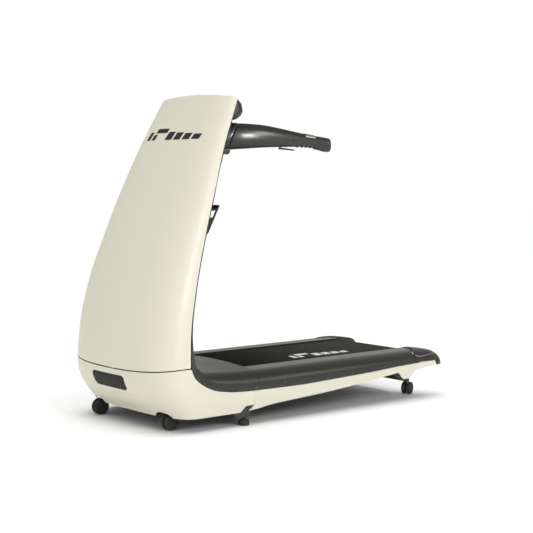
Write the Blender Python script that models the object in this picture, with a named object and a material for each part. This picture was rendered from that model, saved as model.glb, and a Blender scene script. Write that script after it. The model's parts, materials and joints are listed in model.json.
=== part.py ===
"""Motor-driven treadmill with one leaning moulded upright. Metres, +Z up, the user stands facing -Y.

+X is the user's left. The origin is the bottom centre of the whole object. Left pieces are modelled at +X and the
right pieces are their mirror images. Dimensions are laid out along a station line and moved to the origin at the end.
"""

import math

import bmesh
import bpy
from mathutils import Matrix, Vector

# ---------------------------------------------------------------- driving dimensions
ORIGIN_SHIFT = -0.0187
FIT_GAP = 0.0004
SEAM = 0.001

# Upright shell: height, half width, station of its rear edge, depth of the wrap in front of that edge.
SHELL_STATIONS = (
    (0.240, 0.393, -0.669, 0.167),
    (0.300, 0.393, -0.669, 0.163),
    (0.400, 0.391, -0.666, 0.154),
    (0.600, 0.382, -0.633, 0.137),
    (0.800, 0.362, -0.575, 0.118),
    (1.000, 0.340, -0.506, 0.100),
    (1.200, 0.308, -0.429, 0.084),
    (1.380, 0.280, -0.345, 0.070),
    (1.450, 0.268, -0.312, 0.064),
)
SHELL_SIDE_POWER = 2.6
SHELL_NOSE_POWER = 2.75
SHELL_WALL = 0.004
SHELL_TOP = 1.440
SHELL_TOP_DROP = 0.016
SHELL_CORNER = 0.014
SHELL_ROWS = 13
SEAM_HEIGHT = 0.278
SEAM_STATION = -0.667
SEAM_RUN = 0.167
SEAM_DIP = 0.020
SEAM_GAP = 0.0045

# Lower bowl: height, front station, station where the sides begin, half width.
BOWL_STATIONS = (
    (0.055, -0.7205, -0.600, 0.3770),
    (0.070, -0.7290, -0.607, 0.3800),
    (0.100, -0.7570, -0.622, 0.3860),
    (0.140, -0.7910, -0.643, 0.3895),
    (0.180, -0.8180, -0.660, 0.3912),
    (0.220, -0.8330, -0.668, 0.3925),
    (0.290, -0.8370, -0.669, 0.3930),
)
BOWL_FOOT = 0.0600
PANEL_SPLIT = -0.325
NOTCH_HEIGHT = 0.0875
NOTCH_FRONT = -0.4080
NOTCH_SLOPE = 0.0330

# Line where the dark covers meet the cream panels, seen from the side: station, height.
COVER_LINE = (
    (-0.6655, 0.4200),
    (-0.6670, 0.3400),
    (-0.6650, 0.2850),
    (-0.6530, 0.2480),
    (-0.6330, 0.2230),
    (-0.5950, 0.1970),
    (-0.5430, 0.1740),
    (-0.4900, 0.1630),
    (-0.4360, 0.1560),
    (-0.3540, 0.1520),
    (-0.2140, 0.1500),
    (-0.0690, 0.1490),
    (0.0800, 0.1530),
    (0.2350, 0.1580),
    (0.3950, 0.1640),
    (0.5600, 0.1730),
    (0.7900, 0.1800),
)
# Lower edge of the side skirt: station, height. The dip is the guard in front of the rear castor.
SKIRT_EDGE = (
    (-0.3350, 0.0620),
    (-0.2140, 0.0790),
    (-0.0690, 0.0880),
    (0.0810, 0.0970),
    (0.2350, 0.1090),
    (0.3960, 0.1250),
    (0.5100, 0.1370),
    (0.5500, 0.1410),
    (0.5780, 0.1160),
    (0.5950, 0.1060),
    (0.6220, 0.1060),
    (0.6460, 0.1190),
    (0.6680, 0.1420),
    (0.7330, 0.1500),
    (0.7900, 0.1565),
    (0.8060, 0.1645),
)

# Centre profile of the hood from the belt up to the upright: station, height, half width of its flat top.
HOOD_PROFILE = (
    (-0.280, 0.2455, 0.3085),
    (-0.335, 0.2455, 0.3085),
    (-0.405, 0.2465, 0.3090),
    (-0.470, 0.2485, 0.3100),
    (-0.530, 0.2530, 0.3120),
    (-0.575, 0.2640, 0.3180),
    (-0.605, 0.2830, 0.3280),
    (-0.625, 0.3080, 0.3400),
    (-0.637, 0.3400, 0.3520),
    (-0.644, 0.3800, 0.3620),
    (-0.648, 0.4200, 0.3670),
)
# The point on the cover line that each row of the hood runs down to.
HOOD_FEET = (
    (-0.3250, 0.1515),
    (-0.3700, 0.1525),
    (-0.4360, 0.1560),
    (-0.4900, 0.1630),
    (-0.5430, 0.1740),
    (-0.5950, 0.1970),
    (-0.6330, 0.2230),
    (-0.6530, 0.2480),
    (-0.6650, 0.2850),
    (-0.6670, 0.3400),
    (-0.6655, 0.4200),
)
HOOD_WALL = 0.0030
HOOD_CROWN = 0.016
HOOD_ROWS = tuple(k / 13 for k in range(14))
HOOD_SIDE = 0.3925

# How far the inner cover of the upright stands behind the rear edge of the shell: height, distance.
COVER_STAND = (
    (0.420, 0.0175),
    (0.460, 0.0135),
    (0.530, 0.0110),
    (0.650, 0.0095),
    (0.950, 0.0090),
    (1.030, 0.0075),
    (1.065, 0.0040),
    (1.110, 0.0075),
    (1.170, 0.0120),
    (1.310, 0.0130),
)
COVER_TOP = 1.3165

# Deck
BELT_HALF = 0.230
BELT_TOP = 0.2235
BELT_THICK = 0.0020
DECK_TOP = 0.2210
DECK_THICK = 0.0180
DECK_HALF = 0.2930
DECK_FRONT = -0.365
DECK_REAR = 0.660
FRONT_ROLLER_Y = -0.420
FRONT_ROLLER_R = 0.0260
REAR_ROLLER_Y = 0.735
REAR_ROLLER_R = 0.0240
AXLE_R = 0.0075
AXLE_HALF = 0.2990
RAIL_IN = 0.2350
RAIL_OUT = 0.3080
CAP_FRONT = 0.7300
CAP_RAKE = 0.0655

# Frame
BEAM_IN = 0.268
BEAM_OUT = 0.300
BEAM_LOW = 0.128
BEAM_HIGH = 0.196
BEAM_FRONT = -0.735
BEAM_REAR = 0.790

# Drive
MOTOR_Y = -0.585
MOTOR_Z = 0.148
MOTOR_R = 0.048
PULLEY_R_MOTOR = 0.020
PULLEY_R_ROLLER = 0.036
PULLEY_X0 = 0.2405
PULLEY_X1 = 0.2615

# Castors: swivel axis, wheel radius, trail of the wheel off the swivel and rest angle of the wheel axle. At rest the
# left front wheel stands behind its swivel and the right one in front of it.
FRONT_CASTOR = (0.250, -0.696)
FRONT_WHEEL_R = 0.036
FRONT_TRAIL = 0.0195
REAR_CASTOR = (0.258, 0.740)
REAR_WHEEL_R = 0.030
REAR_TRAIL = 0.013
REAR_TURN = 23.0
CASTOR_CLEARANCE = 0.060
ARCH_HIGH = 0.079
REAR_WHEEL_HALF = 0.0220

# Levelling feet
FOOT_X = 0.360
FOOT_Y = -0.365
FOOT_R = 0.025

# Handlebar: centre line x, station, height, half height, half width.
ARM_STATIONS = (
    (0.168, -0.392, 1.2520, 0.0590, 0.0400),
    (0.205, -0.332, 1.2520, 0.0590, 0.0420),
    (0.245, -0.277, 1.2530, 0.0560, 0.0400),
    (0.285, -0.207, 1.2530, 0.0500, 0.0360),
    (0.318, -0.127, 1.2480, 0.0410, 0.0310),
    (0.345, -0.042, 1.2400, 0.0320, 0.0270),
    (0.362, 0.028, 1.2320, 0.0280, 0.0250),
    (0.372, 0.083, 1.2230, 0.0300, 0.0250),
    (0.376, 0.112, 1.2200, 0.0280, 0.0230),
)
ARM_POWER = 2.35
GROOVE_START = 0.605
KNOB_START = 0.745
COLLAR_END = 0.165
ARM_TIP = 0.985

# Console
CONSOLE_HALF = 0.256
CONSOLE_PROFILE = (
    (1.3185, -0.3480),
    (1.3270, -0.3060),
    (1.3430, -0.2770),
    (1.3640, -0.2650),
    (1.3900, -0.2700),
    (1.4080, -0.2870),
    (1.4190, -0.3090),
    (1.4245, -0.3330),
)
CONSOLE_BACK = 0.014
FLANGE_THICK = 0.005
FLANGE_TOP = 1.405
TOP_CAP_Z = 1.3960
TOP_CAP_GAP = 0.0016
CONSOLE_KEYS = {"start_button": (0.172, 1.392), "stop_button": (-0.172, 1.392), "safety_key": (0.0, 1.340)}
BUTTON_R = 0.012
KEY_R = 0.013

# ---------------------------------------------------------------- scene and materials
for old in list(bpy.data.objects):
    bpy.data.objects.remove(old, do_unlink=True)

PIECES = {}


def material(name, colour, roughness, metallic=0.0):
    made = bpy.data.materials.new(name)
    made.use_nodes = True
    shader = made.node_tree.nodes["Principled BSDF"]
    shader.inputs["Base Color"].default_value = (*colour, 1.0)
    shader.inputs["Roughness"].default_value = roughness
    shader.inputs["Metallic"].default_value = metallic
    made.diffuse_color = (*colour, 1.0)
    return made


CREAM = ((0.745, 0.730, 0.605), 0.42, 0.0)
DARK = ((0.030, 0.030, 0.025), 0.36, 0.0)
DARK_MATT = ((0.022, 0.022, 0.019), 0.62, 0.0)
BELT = ((0.042, 0.042, 0.036), 0.78, 0.0)
STRIP = ((0.330, 0.325, 0.270), 0.48, 0.0)
RUBBER = ((0.016, 0.016, 0.014), 0.74, 0.0)
STEEL_PAINT = ((0.040, 0.041, 0.040), 0.46, 0.0)
STEEL = ((0.560, 0.560, 0.545), 0.30, 1.0)
CHROME = ((0.800, 0.800, 0.780), 0.12, 1.0)
ALUMINIUM = ((0.640, 0.640, 0.630), 0.34, 1.0)
WOOD = ((0.235, 0.150, 0.085), 0.60, 0.0)
GLASS = ((0.010, 0.011, 0.013), 0.07, 0.0)
RED = ((0.560, 0.030, 0.022), 0.38, 0.0)
GREEN = ((0.040, 0.270, 0.085), 0.38, 0.0)


def register(name, mesh, look, sharp=40.0):
    """Make an object of a mesh, give it its own material and shade it smooth up to an angle."""
    mesh.materials.append(material(name, *look))
    mesh.shade_smooth()
    mesh.set_sharp_from_angle(angle=math.radians(sharp))
    made = bpy.data.objects.new(name, mesh)
    bpy.context.scene.collection.objects.link(made)
    PIECES[name] = made
    return made


def helper(name, mesh):
    """A cutter or a joined volume that is not a piece itself."""
    made = bpy.data.objects.new(name, mesh)
    bpy.context.scene.collection.objects.link(made)
    made.hide_render = True
    made.display_type = "WIRE"
    return made


def combine(piece, other, operation="DIFFERENCE"):
    """Add a Boolean of a helper mesh to a piece."""
    tool = helper(f"tool_{len(bpy.data.objects):03d}", other)
    step = piece.modifiers.new(operation.lower(), "BOOLEAN")
    step.operation = operation
    step.solver = "EXACT"
    step.object = tool


# ---------------------------------------------------------------- number helpers
def signed_power(value, power):
    return math.copysign(abs(value) ** power, value)


def along(table, where, column=1, key=0):
    """Smooth value of one column of a station table, whose keys rise or fall steadily."""
    rows = table if table[0][key] < table[-1][key] else table[::-1]
    if where <= rows[0][key]:
        return rows[0][column]
    if where >= rows[-1][key]:
        return rows[-1][column]
    low = max(i for i in range(len(rows) - 1) if rows[i][key] <= where)
    x0, x1 = rows[low][key], rows[low + 1][key]
    y0, y1 = rows[low][column], rows[low + 1][column]
    chord = (y1 - y0) / (x1 - x0)

    def slope(i):
        if i <= 0 or i >= len(rows) - 1:
            return chord
        before = (rows[i][column] - rows[i - 1][column]) / (rows[i][key] - rows[i - 1][key])
        after = (rows[i + 1][column] - rows[i][column]) / (rows[i + 1][key] - rows[i][key])
        return 0.0 if before * after <= 0 else 2 * before * after / (before + after)

    part = (where - x0) / (x1 - x0)
    step = x1 - x0
    m0, m1 = slope(low) * step, slope(low + 1) * step
    p2, p3 = part * part, part**3
    return (2 * p3 - 3 * p2 + 1) * y0 + (p3 - 2 * p2 + part) * m0 + (3 * p2 - 2 * p3) * y1 + (p3 - p2) * m1


def spline(points, where):
    """Catmull-Rom point on a list of tuples, where runs from 0 to 1 over the whole list."""
    place = max(0.0, min(1.0, where)) * (len(points) - 1)
    i = min(int(place), len(points) - 2)
    part = place - i
    before = points[max(i - 1, 0)]
    after = points[min(i + 2, len(points) - 1)]
    out = []
    for a, b, c, d in zip(before, points[i], points[i + 1], after):
        out.append(
            0.5 * (2 * b + (c - a) * part + (2 * a - 5 * b + 4 * c - d) * part**2 + (3 * b - a - 3 * c + d) * part**3)
        )
    return out


def spread(first, last, count):
    return [first + (last - first) * i / (count - 1) for i in range(count)]


# ---------------------------------------------------------------- mesh helpers
def mesh_of(name, points, faces):
    """A closed mesh with its faces turned outwards."""
    work = bmesh.new()
    verts = [work.verts.new(p) for p in points]
    for face in faces:
        corners = []
        for i in face:
            if verts[i] not in corners:
                corners.append(verts[i])
        if len(corners) > 2:
            work.faces.new(corners)
    bmesh.ops.remove_doubles(work, verts=work.verts, dist=1e-6)
    bmesh.ops.recalc_face_normals(work, faces=work.faces)
    mesh = bpy.data.meshes.new(name)
    work.to_mesh(mesh)
    work.free()
    return mesh


def two_skins(name, outer, inner):
    """Closed panel between two grids of the same size."""
    rows, cols = len(outer), len(outer[0])
    points = [p for line in outer for p in line] + [p for line in inner for p in line]
    size = rows * cols

    def at(r, c, skin=0):
        return skin * size + r * cols + c

    faces = []
    for r in range(rows - 1):
        for c in range(cols - 1):
            faces.append((at(r, c), at(r, c + 1), at(r + 1, c + 1), at(r + 1, c)))
            faces.append((at(r, c, 1), at(r + 1, c, 1), at(r + 1, c + 1, 1), at(r, c + 1, 1)))
    for c in range(cols - 1):
        for r in (0, rows - 1):
            faces.append((at(r, c), at(r, c + 1), at(r, c + 1, 1), at(r, c, 1)))
    for r in range(rows - 1):
        for c in (0, cols - 1):
            faces.append((at(r, c), at(r + 1, c), at(r + 1, c, 1), at(r, c, 1)))
    return mesh_of(name, points, faces)


def grid_normals(grid, towards):
    """Unit normals of a grid, all on the side of the point towards."""
    rows, cols = len(grid), len(grid[0])
    lines = []
    total = 0.0
    for r in range(rows):
        line = []
        for c in range(cols):
            down = grid[min(r + 1, rows - 1)][c] - grid[max(r - 1, 0)][c]
            over = grid[r][min(c + 1, cols - 1)] - grid[r][max(c - 1, 0)]
            normal = down.cross(over).normalized()
            total += normal.dot((towards - grid[r][c]).normalized())
            line.append(normal)
        lines.append(line)
    sign = 1.0 if total > 0 else -1.0
    return [[n * sign for n in line] for line in lines]


def shifted(grid, distance, towards):
    normals = grid_normals(grid, towards)
    return [[p + n * distance for p, n in zip(row, line)] for row, line in zip(grid, normals)]


def wall(name, grid, thickness, towards):
    """Closed panel of even thickness, grown from its outer skin towards a point."""
    return two_skins(name, grid, shifted(grid, thickness, Vector(towards)))


def loft(name, rings):
    """Closed body through rings of equal length, with flat ends."""
    size = len(rings[0])
    points = [p for ring in rings for p in ring]
    faces = []
    for k in range(len(rings) - 1):
        for i in range(size):
            j = (i + 1) % size
            faces.append((k * size + i, k * size + j, (k + 1) * size + j, (k + 1) * size + i))
    faces.append(tuple(range(size - 1, -1, -1)))
    last = (len(rings) - 1) * size
    faces.append(tuple(range(last, last + size)))
    return mesh_of(name, points, faces)


def box_mesh(x0, x1, y0, y1, z0, z1, chamfer=0.0):
    """Box with its four long edges along the longest side cut back by a chamfer."""
    if chamfer == 0.0:
        ring = ((x0, y0), (x1, y0), (x1, y1), (x0, y1))
        return loft("box", [[Vector((x, y, z)) for x, y in ring] for z in (z0, z1)])
    k = chamfer
    rings = []
    for inset, z in ((k, z0), (0.0, z0 + k), (0.0, z1 - k), (k, z1)):
        a0, a1, b0, b1 = x0 + inset, x1 - inset, y0 + inset, y1 - inset
        c = max(k - inset, 0.15 * k)
        ring = (
            (a0 + c, b0), (a1 - c, b0), (a1, b0 + c), (a1, b1 - c),
            (a1 - c, b1), (a0 + c, b1), (a0, b1 - c), (a0, b0 + c),
        )
        rings.append([Vector((x, y, z)) for x, y in ring])
    return loft("box", rings)


def prism(polygon, x0, x1):
    """Outline in stations and heights, extruded along X."""
    return loft("prism", [[Vector((x, y, z)) for y, z in polygon] for x in (x0, x1)])


def turned(profile, origin, axis, count=32, bored=True):
    """Body turned about an axis. The profile lists (radius, distance along the axis) and closes on itself."""
    axis = Vector(axis).normalized()
    side = axis.orthogonal().normalized()
    if abs(axis.z) < 0.9:
        side = axis.cross(Vector((0, 0, 1))).normalized()
    up = axis.cross(side)
    origin = Vector(origin)
    size = len(profile)
    points = []
    for k in range(count):
        angle = 2 * math.pi * k / count
        arm = side * math.cos(angle) + up * math.sin(angle)
        points += [origin + arm * r + axis * h for r, h in profile]
    faces = []
    for k in range(count):
        nxt = (k + 1) % count
        for i in range(size if bored else size - 1):
            j = (i + 1) % size
            faces.append((k * size + i, k * size + j, nxt * size + j, nxt * size + i))
    return mesh_of("turned", points, faces) if bored else solid_turned(points, faces)


def solid_turned(points, faces):
    """Turned body whose profile starts and ends on the axis."""
    work = bmesh.new()
    verts = [work.verts.new(p) for p in points]
    for face in faces:
        work.faces.new([verts[i] for i in face])
    bmesh.ops.remove_doubles(work, verts=work.verts, dist=1e-6)
    bmesh.ops.dissolve_degenerate(work, edges=work.edges, dist=1e-7)
    bmesh.ops.recalc_face_normals(work, faces=work.faces)
    mesh = bpy.data.meshes.new("turned")
    work.to_mesh(mesh)
    work.free()
    return mesh


def rod(origin, axis, radius, length, count=20, chamfer=0.0):
    """Plain rod that starts at its origin."""
    k = chamfer
    profile = [(0.0, 0.0), (radius - k, 0.0), (radius, k), (radius, length - k), (radius - k, length), (0.0, length)]
    if k == 0.0:
        profile = [(0.0, 0.0), (radius, 0.0), (radius, length), (0.0, length)]
    return turned(profile, origin, axis, count, bored=False)


def mirrored(source, name):
    """The right-hand twin of a left-hand piece, with its own mesh and its own copies of the Boolean tools."""
    mesh = source.data.copy()
    mesh.transform(Matrix.Scale(-1, 4, (1, 0, 0)))
    mesh.flip_normals()
    mesh.materials.clear()
    look = source.data.materials[0].node_tree.nodes["Principled BSDF"].inputs
    colour = tuple(look["Base Color"].default_value)[:3]
    mesh.materials.append(material(name, colour, look["Roughness"].default_value, look["Metallic"].default_value))
    twin = bpy.data.objects.new(name, mesh)
    bpy.context.scene.collection.objects.link(twin)
    for step in source.modifiers:
        tool = step.object.data.copy()
        tool.transform(Matrix.Scale(-1, 4, (1, 0, 0)))
        tool.flip_normals()
        combine(twin, tool, step.operation)
    PIECES[name] = twin
    return twin


def pair(name, mesh, look, sharp=40.0):
    """A left-hand piece. Its twin is made after the tools have been added."""
    return register(f"{name}_L", mesh, look, sharp)


def twin_of(name):
    return mirrored(PIECES[f"{name}_L"], f"{name}_R")


# ---------------------------------------------------------------- upright shell
def shell_at(z):
    return tuple(along(SHELL_STATIONS, z, column) for column in (1, 2, 3))


def shell_point(angle, z):
    width, edge, depth = shell_at(z)
    x = width * signed_power(math.sin(angle), 2 / SHELL_SIDE_POWER)
    y = edge - depth * abs(math.cos(angle)) ** (2 / SHELL_NOSE_POWER)
    return Vector((x, y, z))


def seam_z(y):
    """Height of the seam between shell and bowl. It dips towards the nose."""
    return SEAM_HEIGHT - SEAM_DIP * (max(0.0, SEAM_STATION - y) / SEAM_RUN) ** 2


def shell_top_z(angle):
    width, edge, _ = shell_at(SHELL_TOP - SHELL_TOP_DROP)
    point = shell_point(angle, SHELL_TOP - SHELL_TOP_DROP)
    crown = SHELL_TOP - SHELL_TOP_DROP * (abs(point.x) / width) ** 2.2
    rim = max(0.0, edge - point.y)
    if rim < SHELL_CORNER:
        crown -= SHELL_CORNER - math.sqrt(SHELL_CORNER**2 - (SHELL_CORNER - rim) ** 2)
    return crown


def shell_grid(cols, rows):
    grid = []
    angles = [math.radians(a) for a in spread(-90, 90, cols)]
    for k in range(rows):
        part = k / (rows - 1)
        line = []
        for angle in angles:
            low = seam_z(shell_point(angle, 0.27).y) + SEAM_GAP / 2
            high = shell_top_z(angle)
            line.append(shell_point(angle, low + (high - low) * part))
        grid.append(line)
    return grid


def upper_shell():
    register("upper_shell", wall("upper_shell", shell_grid(29, SHELL_ROWS), SHELL_WALL, (0, -0.45, 0.8)), CREAM)


# ---------------------------------------------------------------- lower bowl, skirts and grille
def bowl_at(z):
    return tuple(along(BOWL_STATIONS, z, column) for column in (1, 2, 3))


def bowl_power(z):
    return 2.6 + 0.4 * max(0.0, min(1.0, (0.20 - z) / 0.14))


def bowl_front_point(angle, z):
    front, side, width = bowl_at(z)
    power = bowl_power(z)
    x = width * signed_power(math.sin(angle), 2 / power)
    y = side - (side - front) * abs(math.cos(angle)) ** (2 / (power + 0.12))
    return Vector((x, y, z))


def bowl_side_point(top_y, top_z, z):
    """Point on the flat side of the bowl, under a point of its top edge."""
    _, side, width = bowl_at(z)
    share = (top_y - PANEL_SPLIT) / (bowl_at(top_z)[1] - PANEL_SPLIT)
    return Vector((width, PANEL_SPLIT + (side - PANEL_SPLIT) * share, z))


def cover_line_z(y):
    return along(COVER_LINE, y)


def bowl_edge_z(y):
    """Lower edge of the side of the bowl, with the notch for the levelling leg."""
    part = (y - NOTCH_FRONT) / NOTCH_SLOPE
    return BOWL_FOOT + (NOTCH_HEIGHT - BOWL_FOOT) * max(0.0, min(1.0, part))


def bowl_side_tops():
    """Top corners of the bowl's side columns, running along the lower edge of the hood up to the seam."""
    line = [cover_line_point(part, -SEAM) for part in HOOD_ROWS]
    tops = [line[0], line[1]]
    tops += [line[1].lerp(line[2], share) for share in BOWL_EXTRA_COLUMNS]
    tops += [point for point in line[2:] if point.y < seam_z(point.x) - SEAM_GAP / 2 - 0.004]
    return tops


BOWL_EXTRA_COLUMNS = (0.35, 0.75)
BOWL_ROWS = (0.0, 0.20, 0.42, 0.62, 0.80, 0.92, 1.0)


def wheel_arch(side, count):
    """Domed space round the swivelling front castor."""
    x, y = FRONT_CASTOR
    dome = [(0.0, -0.010), (CASTOR_CLEARANCE, -0.010), (CASTOR_CLEARANCE, 0.036)]
    for angle in (20, 38, 55, 72):
        a = math.radians(angle)
        dome.append((CASTOR_CLEARANCE * math.cos(a) ** 0.8, 0.036 + (ARCH_HIGH + 0.010 - 0.036) * math.sin(a)))
    dome.append((0.0, ARCH_HIGH + 0.010))
    return turned(dome, (x * side, y, 0.0), (0, 0, 1), count, bored=False)


def lower_shell():
    grid = []
    angles = [math.radians(a) for a in spread(90, -90, 25)]
    for part in BOWL_ROWS:
        line = []
        for side in (1, -1):
            column = []
            for station, high in bowl_side_tops():
                station = min(station, PANEL_SPLIT - SEAM / 2)
                low = bowl_edge_z(station)
                point = bowl_side_point(station, high, high + (low - high) * part)
                column.append(Vector((point.x * side, point.y, point.z)))
            if side == 1:
                line += column
                for angle in angles:
                    high = seam_z(bowl_front_point(angle, 0.27).y) - SEAM_GAP / 2
                    line.append(bowl_front_point(angle, high + (BOWL_FOOT - high) * part))
            else:
                line += column[::-1]
        grid.append(line)
    shell = register("lower_shell", wall("lower_shell", grid, SHELL_WALL, (0, -0.45, 0.17)), CREAM)
    for side in (1, -1):
        combine(shell, wheel_arch(side, 32))
    combine(shell, grille_outline(0.0))
    combine(shell, box_mesh(-0.42, -0.36, -0.539, -0.455, 0.094, 0.128))


GRILLE_HALF = 0.128
GRILLE_LOW = 0.166
GRILLE_HIGH = 0.232
GRILLE_CORNER = 0.020


def rounded_outline(half, low, high, corner, count=3):
    points = []
    for x, z, start in ((half, high, 0), (-half, high, 90), (-half, low, 180), (half, low, 270)):
        cx = x - math.copysign(corner, x)
        cz = z - corner if z == high else z + corner
        for k in range(count + 1):
            a = math.radians(start + 90 * k / count)
            points.append((cx + corner * math.cos(a), cz + corner * math.sin(a)))
    return points


def grille_outline(inset):
    ring = rounded_outline(GRILLE_HALF - inset, GRILLE_LOW + inset, GRILLE_HIGH - inset, GRILLE_CORNER - inset)
    return loft("grille", [[Vector((x, y, z)) for x, z in ring] for y in (-0.90, -0.745)])


def bowl_front_y(x, z):
    """Station of the bowl's outer skin at a width and a height."""
    front, side, width = bowl_at(z)
    power = bowl_power(z)
    share = min(abs(x) / width, 1.0) ** power
    return side - (side - front) * (1 - share) ** (1 / (power + 0.12))


def grille():
    grid = []
    for z in spread(GRILLE_LOW - 0.004, GRILLE_HIGH + 0.004, 5):
        grid.append([Vector((x, bowl_front_y(x, z) + 0.0015, z)) for x in spread(-0.134, 0.134, 9)])
    piece = register("air_grille", wall("air_grille", grid, 0.0035, (0, -0.45, 0.2)), DARK_MATT)
    combine(piece, grille_outline(0.0006), "INTERSECT")
    for k in range(4):
        z = 0.181 + 0.012 * k
        combine(piece, box_mesh(-0.104, 0.104, -0.9, -0.74, z, z + 0.0045))


def side_x(z):
    return bowl_at(z)[2]


def skirt():
    stations = [PANEL_SPLIT + SEAM, -0.316, -0.300, -0.260]
    stations += spread(-0.214, 0.500, 8)
    stations += [0.550, 0.564, 0.578, 0.595, 0.622, 0.646, 0.668, 0.733, 0.785, 0.800, 0.808]
    grid = []
    for part in (0.0, 0.40, 0.72, 1.0):
        line = []
        for k, y in enumerate(stations):
            high = cover_line_z(y) - SEAM
            low = along(SKIRT_EDGE, y)
            if y > 0.79:
                high -= 0.010 * ((y - 0.79) / 0.018) ** 2
            if y < -0.29:
                low = 0.061
            z = high + (low - high) * part
            lead = (1.0, 0.45, 0.0)[k] if k < 3 else 0.0
            tip = 0.030 * lead * max(0.0, (NOTCH_HEIGHT - 0.002 - z) / (NOTCH_HEIGHT - 0.063))
            line.append(Vector((side_x(z), y - tip, z)))
        grid.append(line)
    pair("side_skirt", wall("side_skirt", grid, 0.0035, (0, 0.2, 0.12)), CREAM)
    twin_of("side_skirt")


# ---------------------------------------------------------------- dark covers
def shoulder(top, foot, steps, power=2.25):
    """Quarter curve from the flat top over the side down to the foot point, without its first point."""
    points = []
    for k in range(1, steps + 1):
        a = math.radians(90 * k / steps)
        out = math.sin(a) ** (2 / power)
        down = 1 - math.cos(a) ** (2 / power)
        x = top.x + (foot.x - top.x) * out
        points.append(Vector((x, top.y + (foot.y - top.y) * down, top.z + (foot.z - top.z) * down)))
    return points


def mirrored_row(half):
    """Full row from its half at +X, whose first point lies on the middle."""
    return [Vector((-p.x, p.y, p.z)) for p in half[:0:-1]] + half


def cover_line_point(part, aside):
    """Point of the cover line, moved to one side of it in the side view. Part runs from the hood's rear edge up."""
    here = Vector(spline(HOOD_FEET, part))
    ahead = Vector(spline(HOOD_FEET, min(1.0, part + 0.01))) - Vector(spline(HOOD_FEET, max(0.0, part - 0.01)))
    ahead.normalize()
    return here + Vector((-ahead.y, ahead.x)) * -aside


def hood_row(part, flats=5, steps=5):
    y, z, half = spline(HOOD_PROFILE, part)
    foot_y, foot_z = cover_line_point(part, SEAM)
    drop = HOOD_CROWN * max(0.0, 1.0 - part / 0.75)
    line = [Vector((x, y, z - drop * (x / half) ** 2)) for x in spread(0.0, half, flats)]
    foot = Vector((HOOD_SIDE, foot_y, foot_z))
    if foot_z > seam_z(SEAM_STATION) - 0.012:
        rim = rim_point(max(foot_z, RIM_LOW))
        foot = Vector((rim.x, max(rim.y + RIM_STAND, foot_y), foot_z))
    return mirrored_row(line + shoulder(line[-1], foot, steps))


def motor_hood():
    grid = [hood_row(part) for part in HOOD_ROWS]
    register("motor_hood", wall("motor_hood", grid, HOOD_WALL, (0, -0.5, 0.12)), DARK)


def cover_y(x, z):
    """Station of the outer skin of the inner cover of the upright."""
    width, edge, _ = shell_at(z)
    crown = 0.003 * (1 - min(1.0, abs(x) / (width - 0.022)) ** 2)
    return edge + along(COVER_STAND, z) + crown


# The inner cover shares its heights with the shell's rim, so that the two edges run side by side.
RIM_LOW = seam_z(SEAM_STATION) + SEAM_GAP / 2
RIM_HIGH = shell_top_z(math.pi / 2)
RIM_ROWS = spread(RIM_LOW, RIM_HIGH, SHELL_ROWS)
RIM_STAND = 0.0024
COVER_ROWS = [0.4205 + SEAM] + [z for z in RIM_ROWS if 0.45 < z < COVER_TOP - 0.02] + [COVER_TOP]


def rim_point(z):
    """Outer corner of the shell's rim at a height, on the straight run between two of its rows."""
    low = max(i for i in range(SHELL_ROWS - 1) if RIM_ROWS[i] <= z)
    part = (z - RIM_ROWS[low]) / (RIM_ROWS[low + 1] - RIM_ROWS[low])
    return shell_point(math.pi / 2, RIM_ROWS[low]).lerp(shell_point(math.pi / 2, RIM_ROWS[low + 1]), part)


def cover_skin_y(x, z):
    """Station of the flat facets that the inner cover is made of."""
    low = max(i for i in range(len(COVER_ROWS) - 1) if COVER_ROWS[i] <= max(z, COVER_ROWS[0]))
    part = (z - COVER_ROWS[low]) / (COVER_ROWS[low + 1] - COVER_ROWS[low])
    return cover_y(x, COVER_ROWS[low]) * (1 - part) + cover_y(x, COVER_ROWS[low + 1]) * part


def column_cover():
    grid = []
    for z in COVER_ROWS:
        half = shell_at(z)[0] - 0.022
        line = [Vector((x, cover_y(x, z), z)) for x in spread(0.0, half, 4)]
        rim = rim_point(z)
        foot = Vector((rim.x, rim.y + RIM_STAND, z))
        grid.append(mirrored_row(line + shoulder(line[-1], foot, 4)))
    register("column_cover", wall("column_cover", grid, HOOD_WALL, (0, -0.9, 0.8)), DARK)


def cap_seam_y(x):
    """Station of the seam between the side cover and the rear cap. It runs forward down the side."""
    out = max(0.0, min(1.0, (x - RAIL_OUT) / (HOOD_SIDE - RAIL_OUT)))
    return CAP_FRONT - CAP_RAKE * out**0.6


def side_cover_row(share, steps):
    """One row of the side cover, from the hood's slanted edge to the cap's."""
    y = PANEL_SPLIT + SEAM + (CAP_FRONT - CAP_RAKE - 0.002 - PANEL_SPLIT - SEAM) * share
    foot = Vector((side_x(cover_line_z(y)) + 0.001, y, cover_line_z(y) + SEAM))
    top = Vector((RAIL_OUT + 0.0015, y, 0.2285))
    lead = HOOD_PROFILE[0][0] - PANEL_SPLIT
    row = []
    for point in [top] + shoulder(top, foot, steps):
        ahead = (1 - share) * lead * (point.z - foot.z) / (top.z - foot.z)
        behind = share * (cap_seam_y(point.x) - (CAP_FRONT - CAP_RAKE))
        row.append(Vector((point.x, point.y + ahead + behind, point.z)))
    return row


def side_cover():
    grid = []
    for share in spread(0.0, 1.0, 12):
        grid.append(side_cover_row(share, 7))
    pair("side_cover", wall("side_cover", grid, HOOD_WALL, (0.30, 0.2, 0.15)), DARK)
    twin_of("side_cover")


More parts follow.
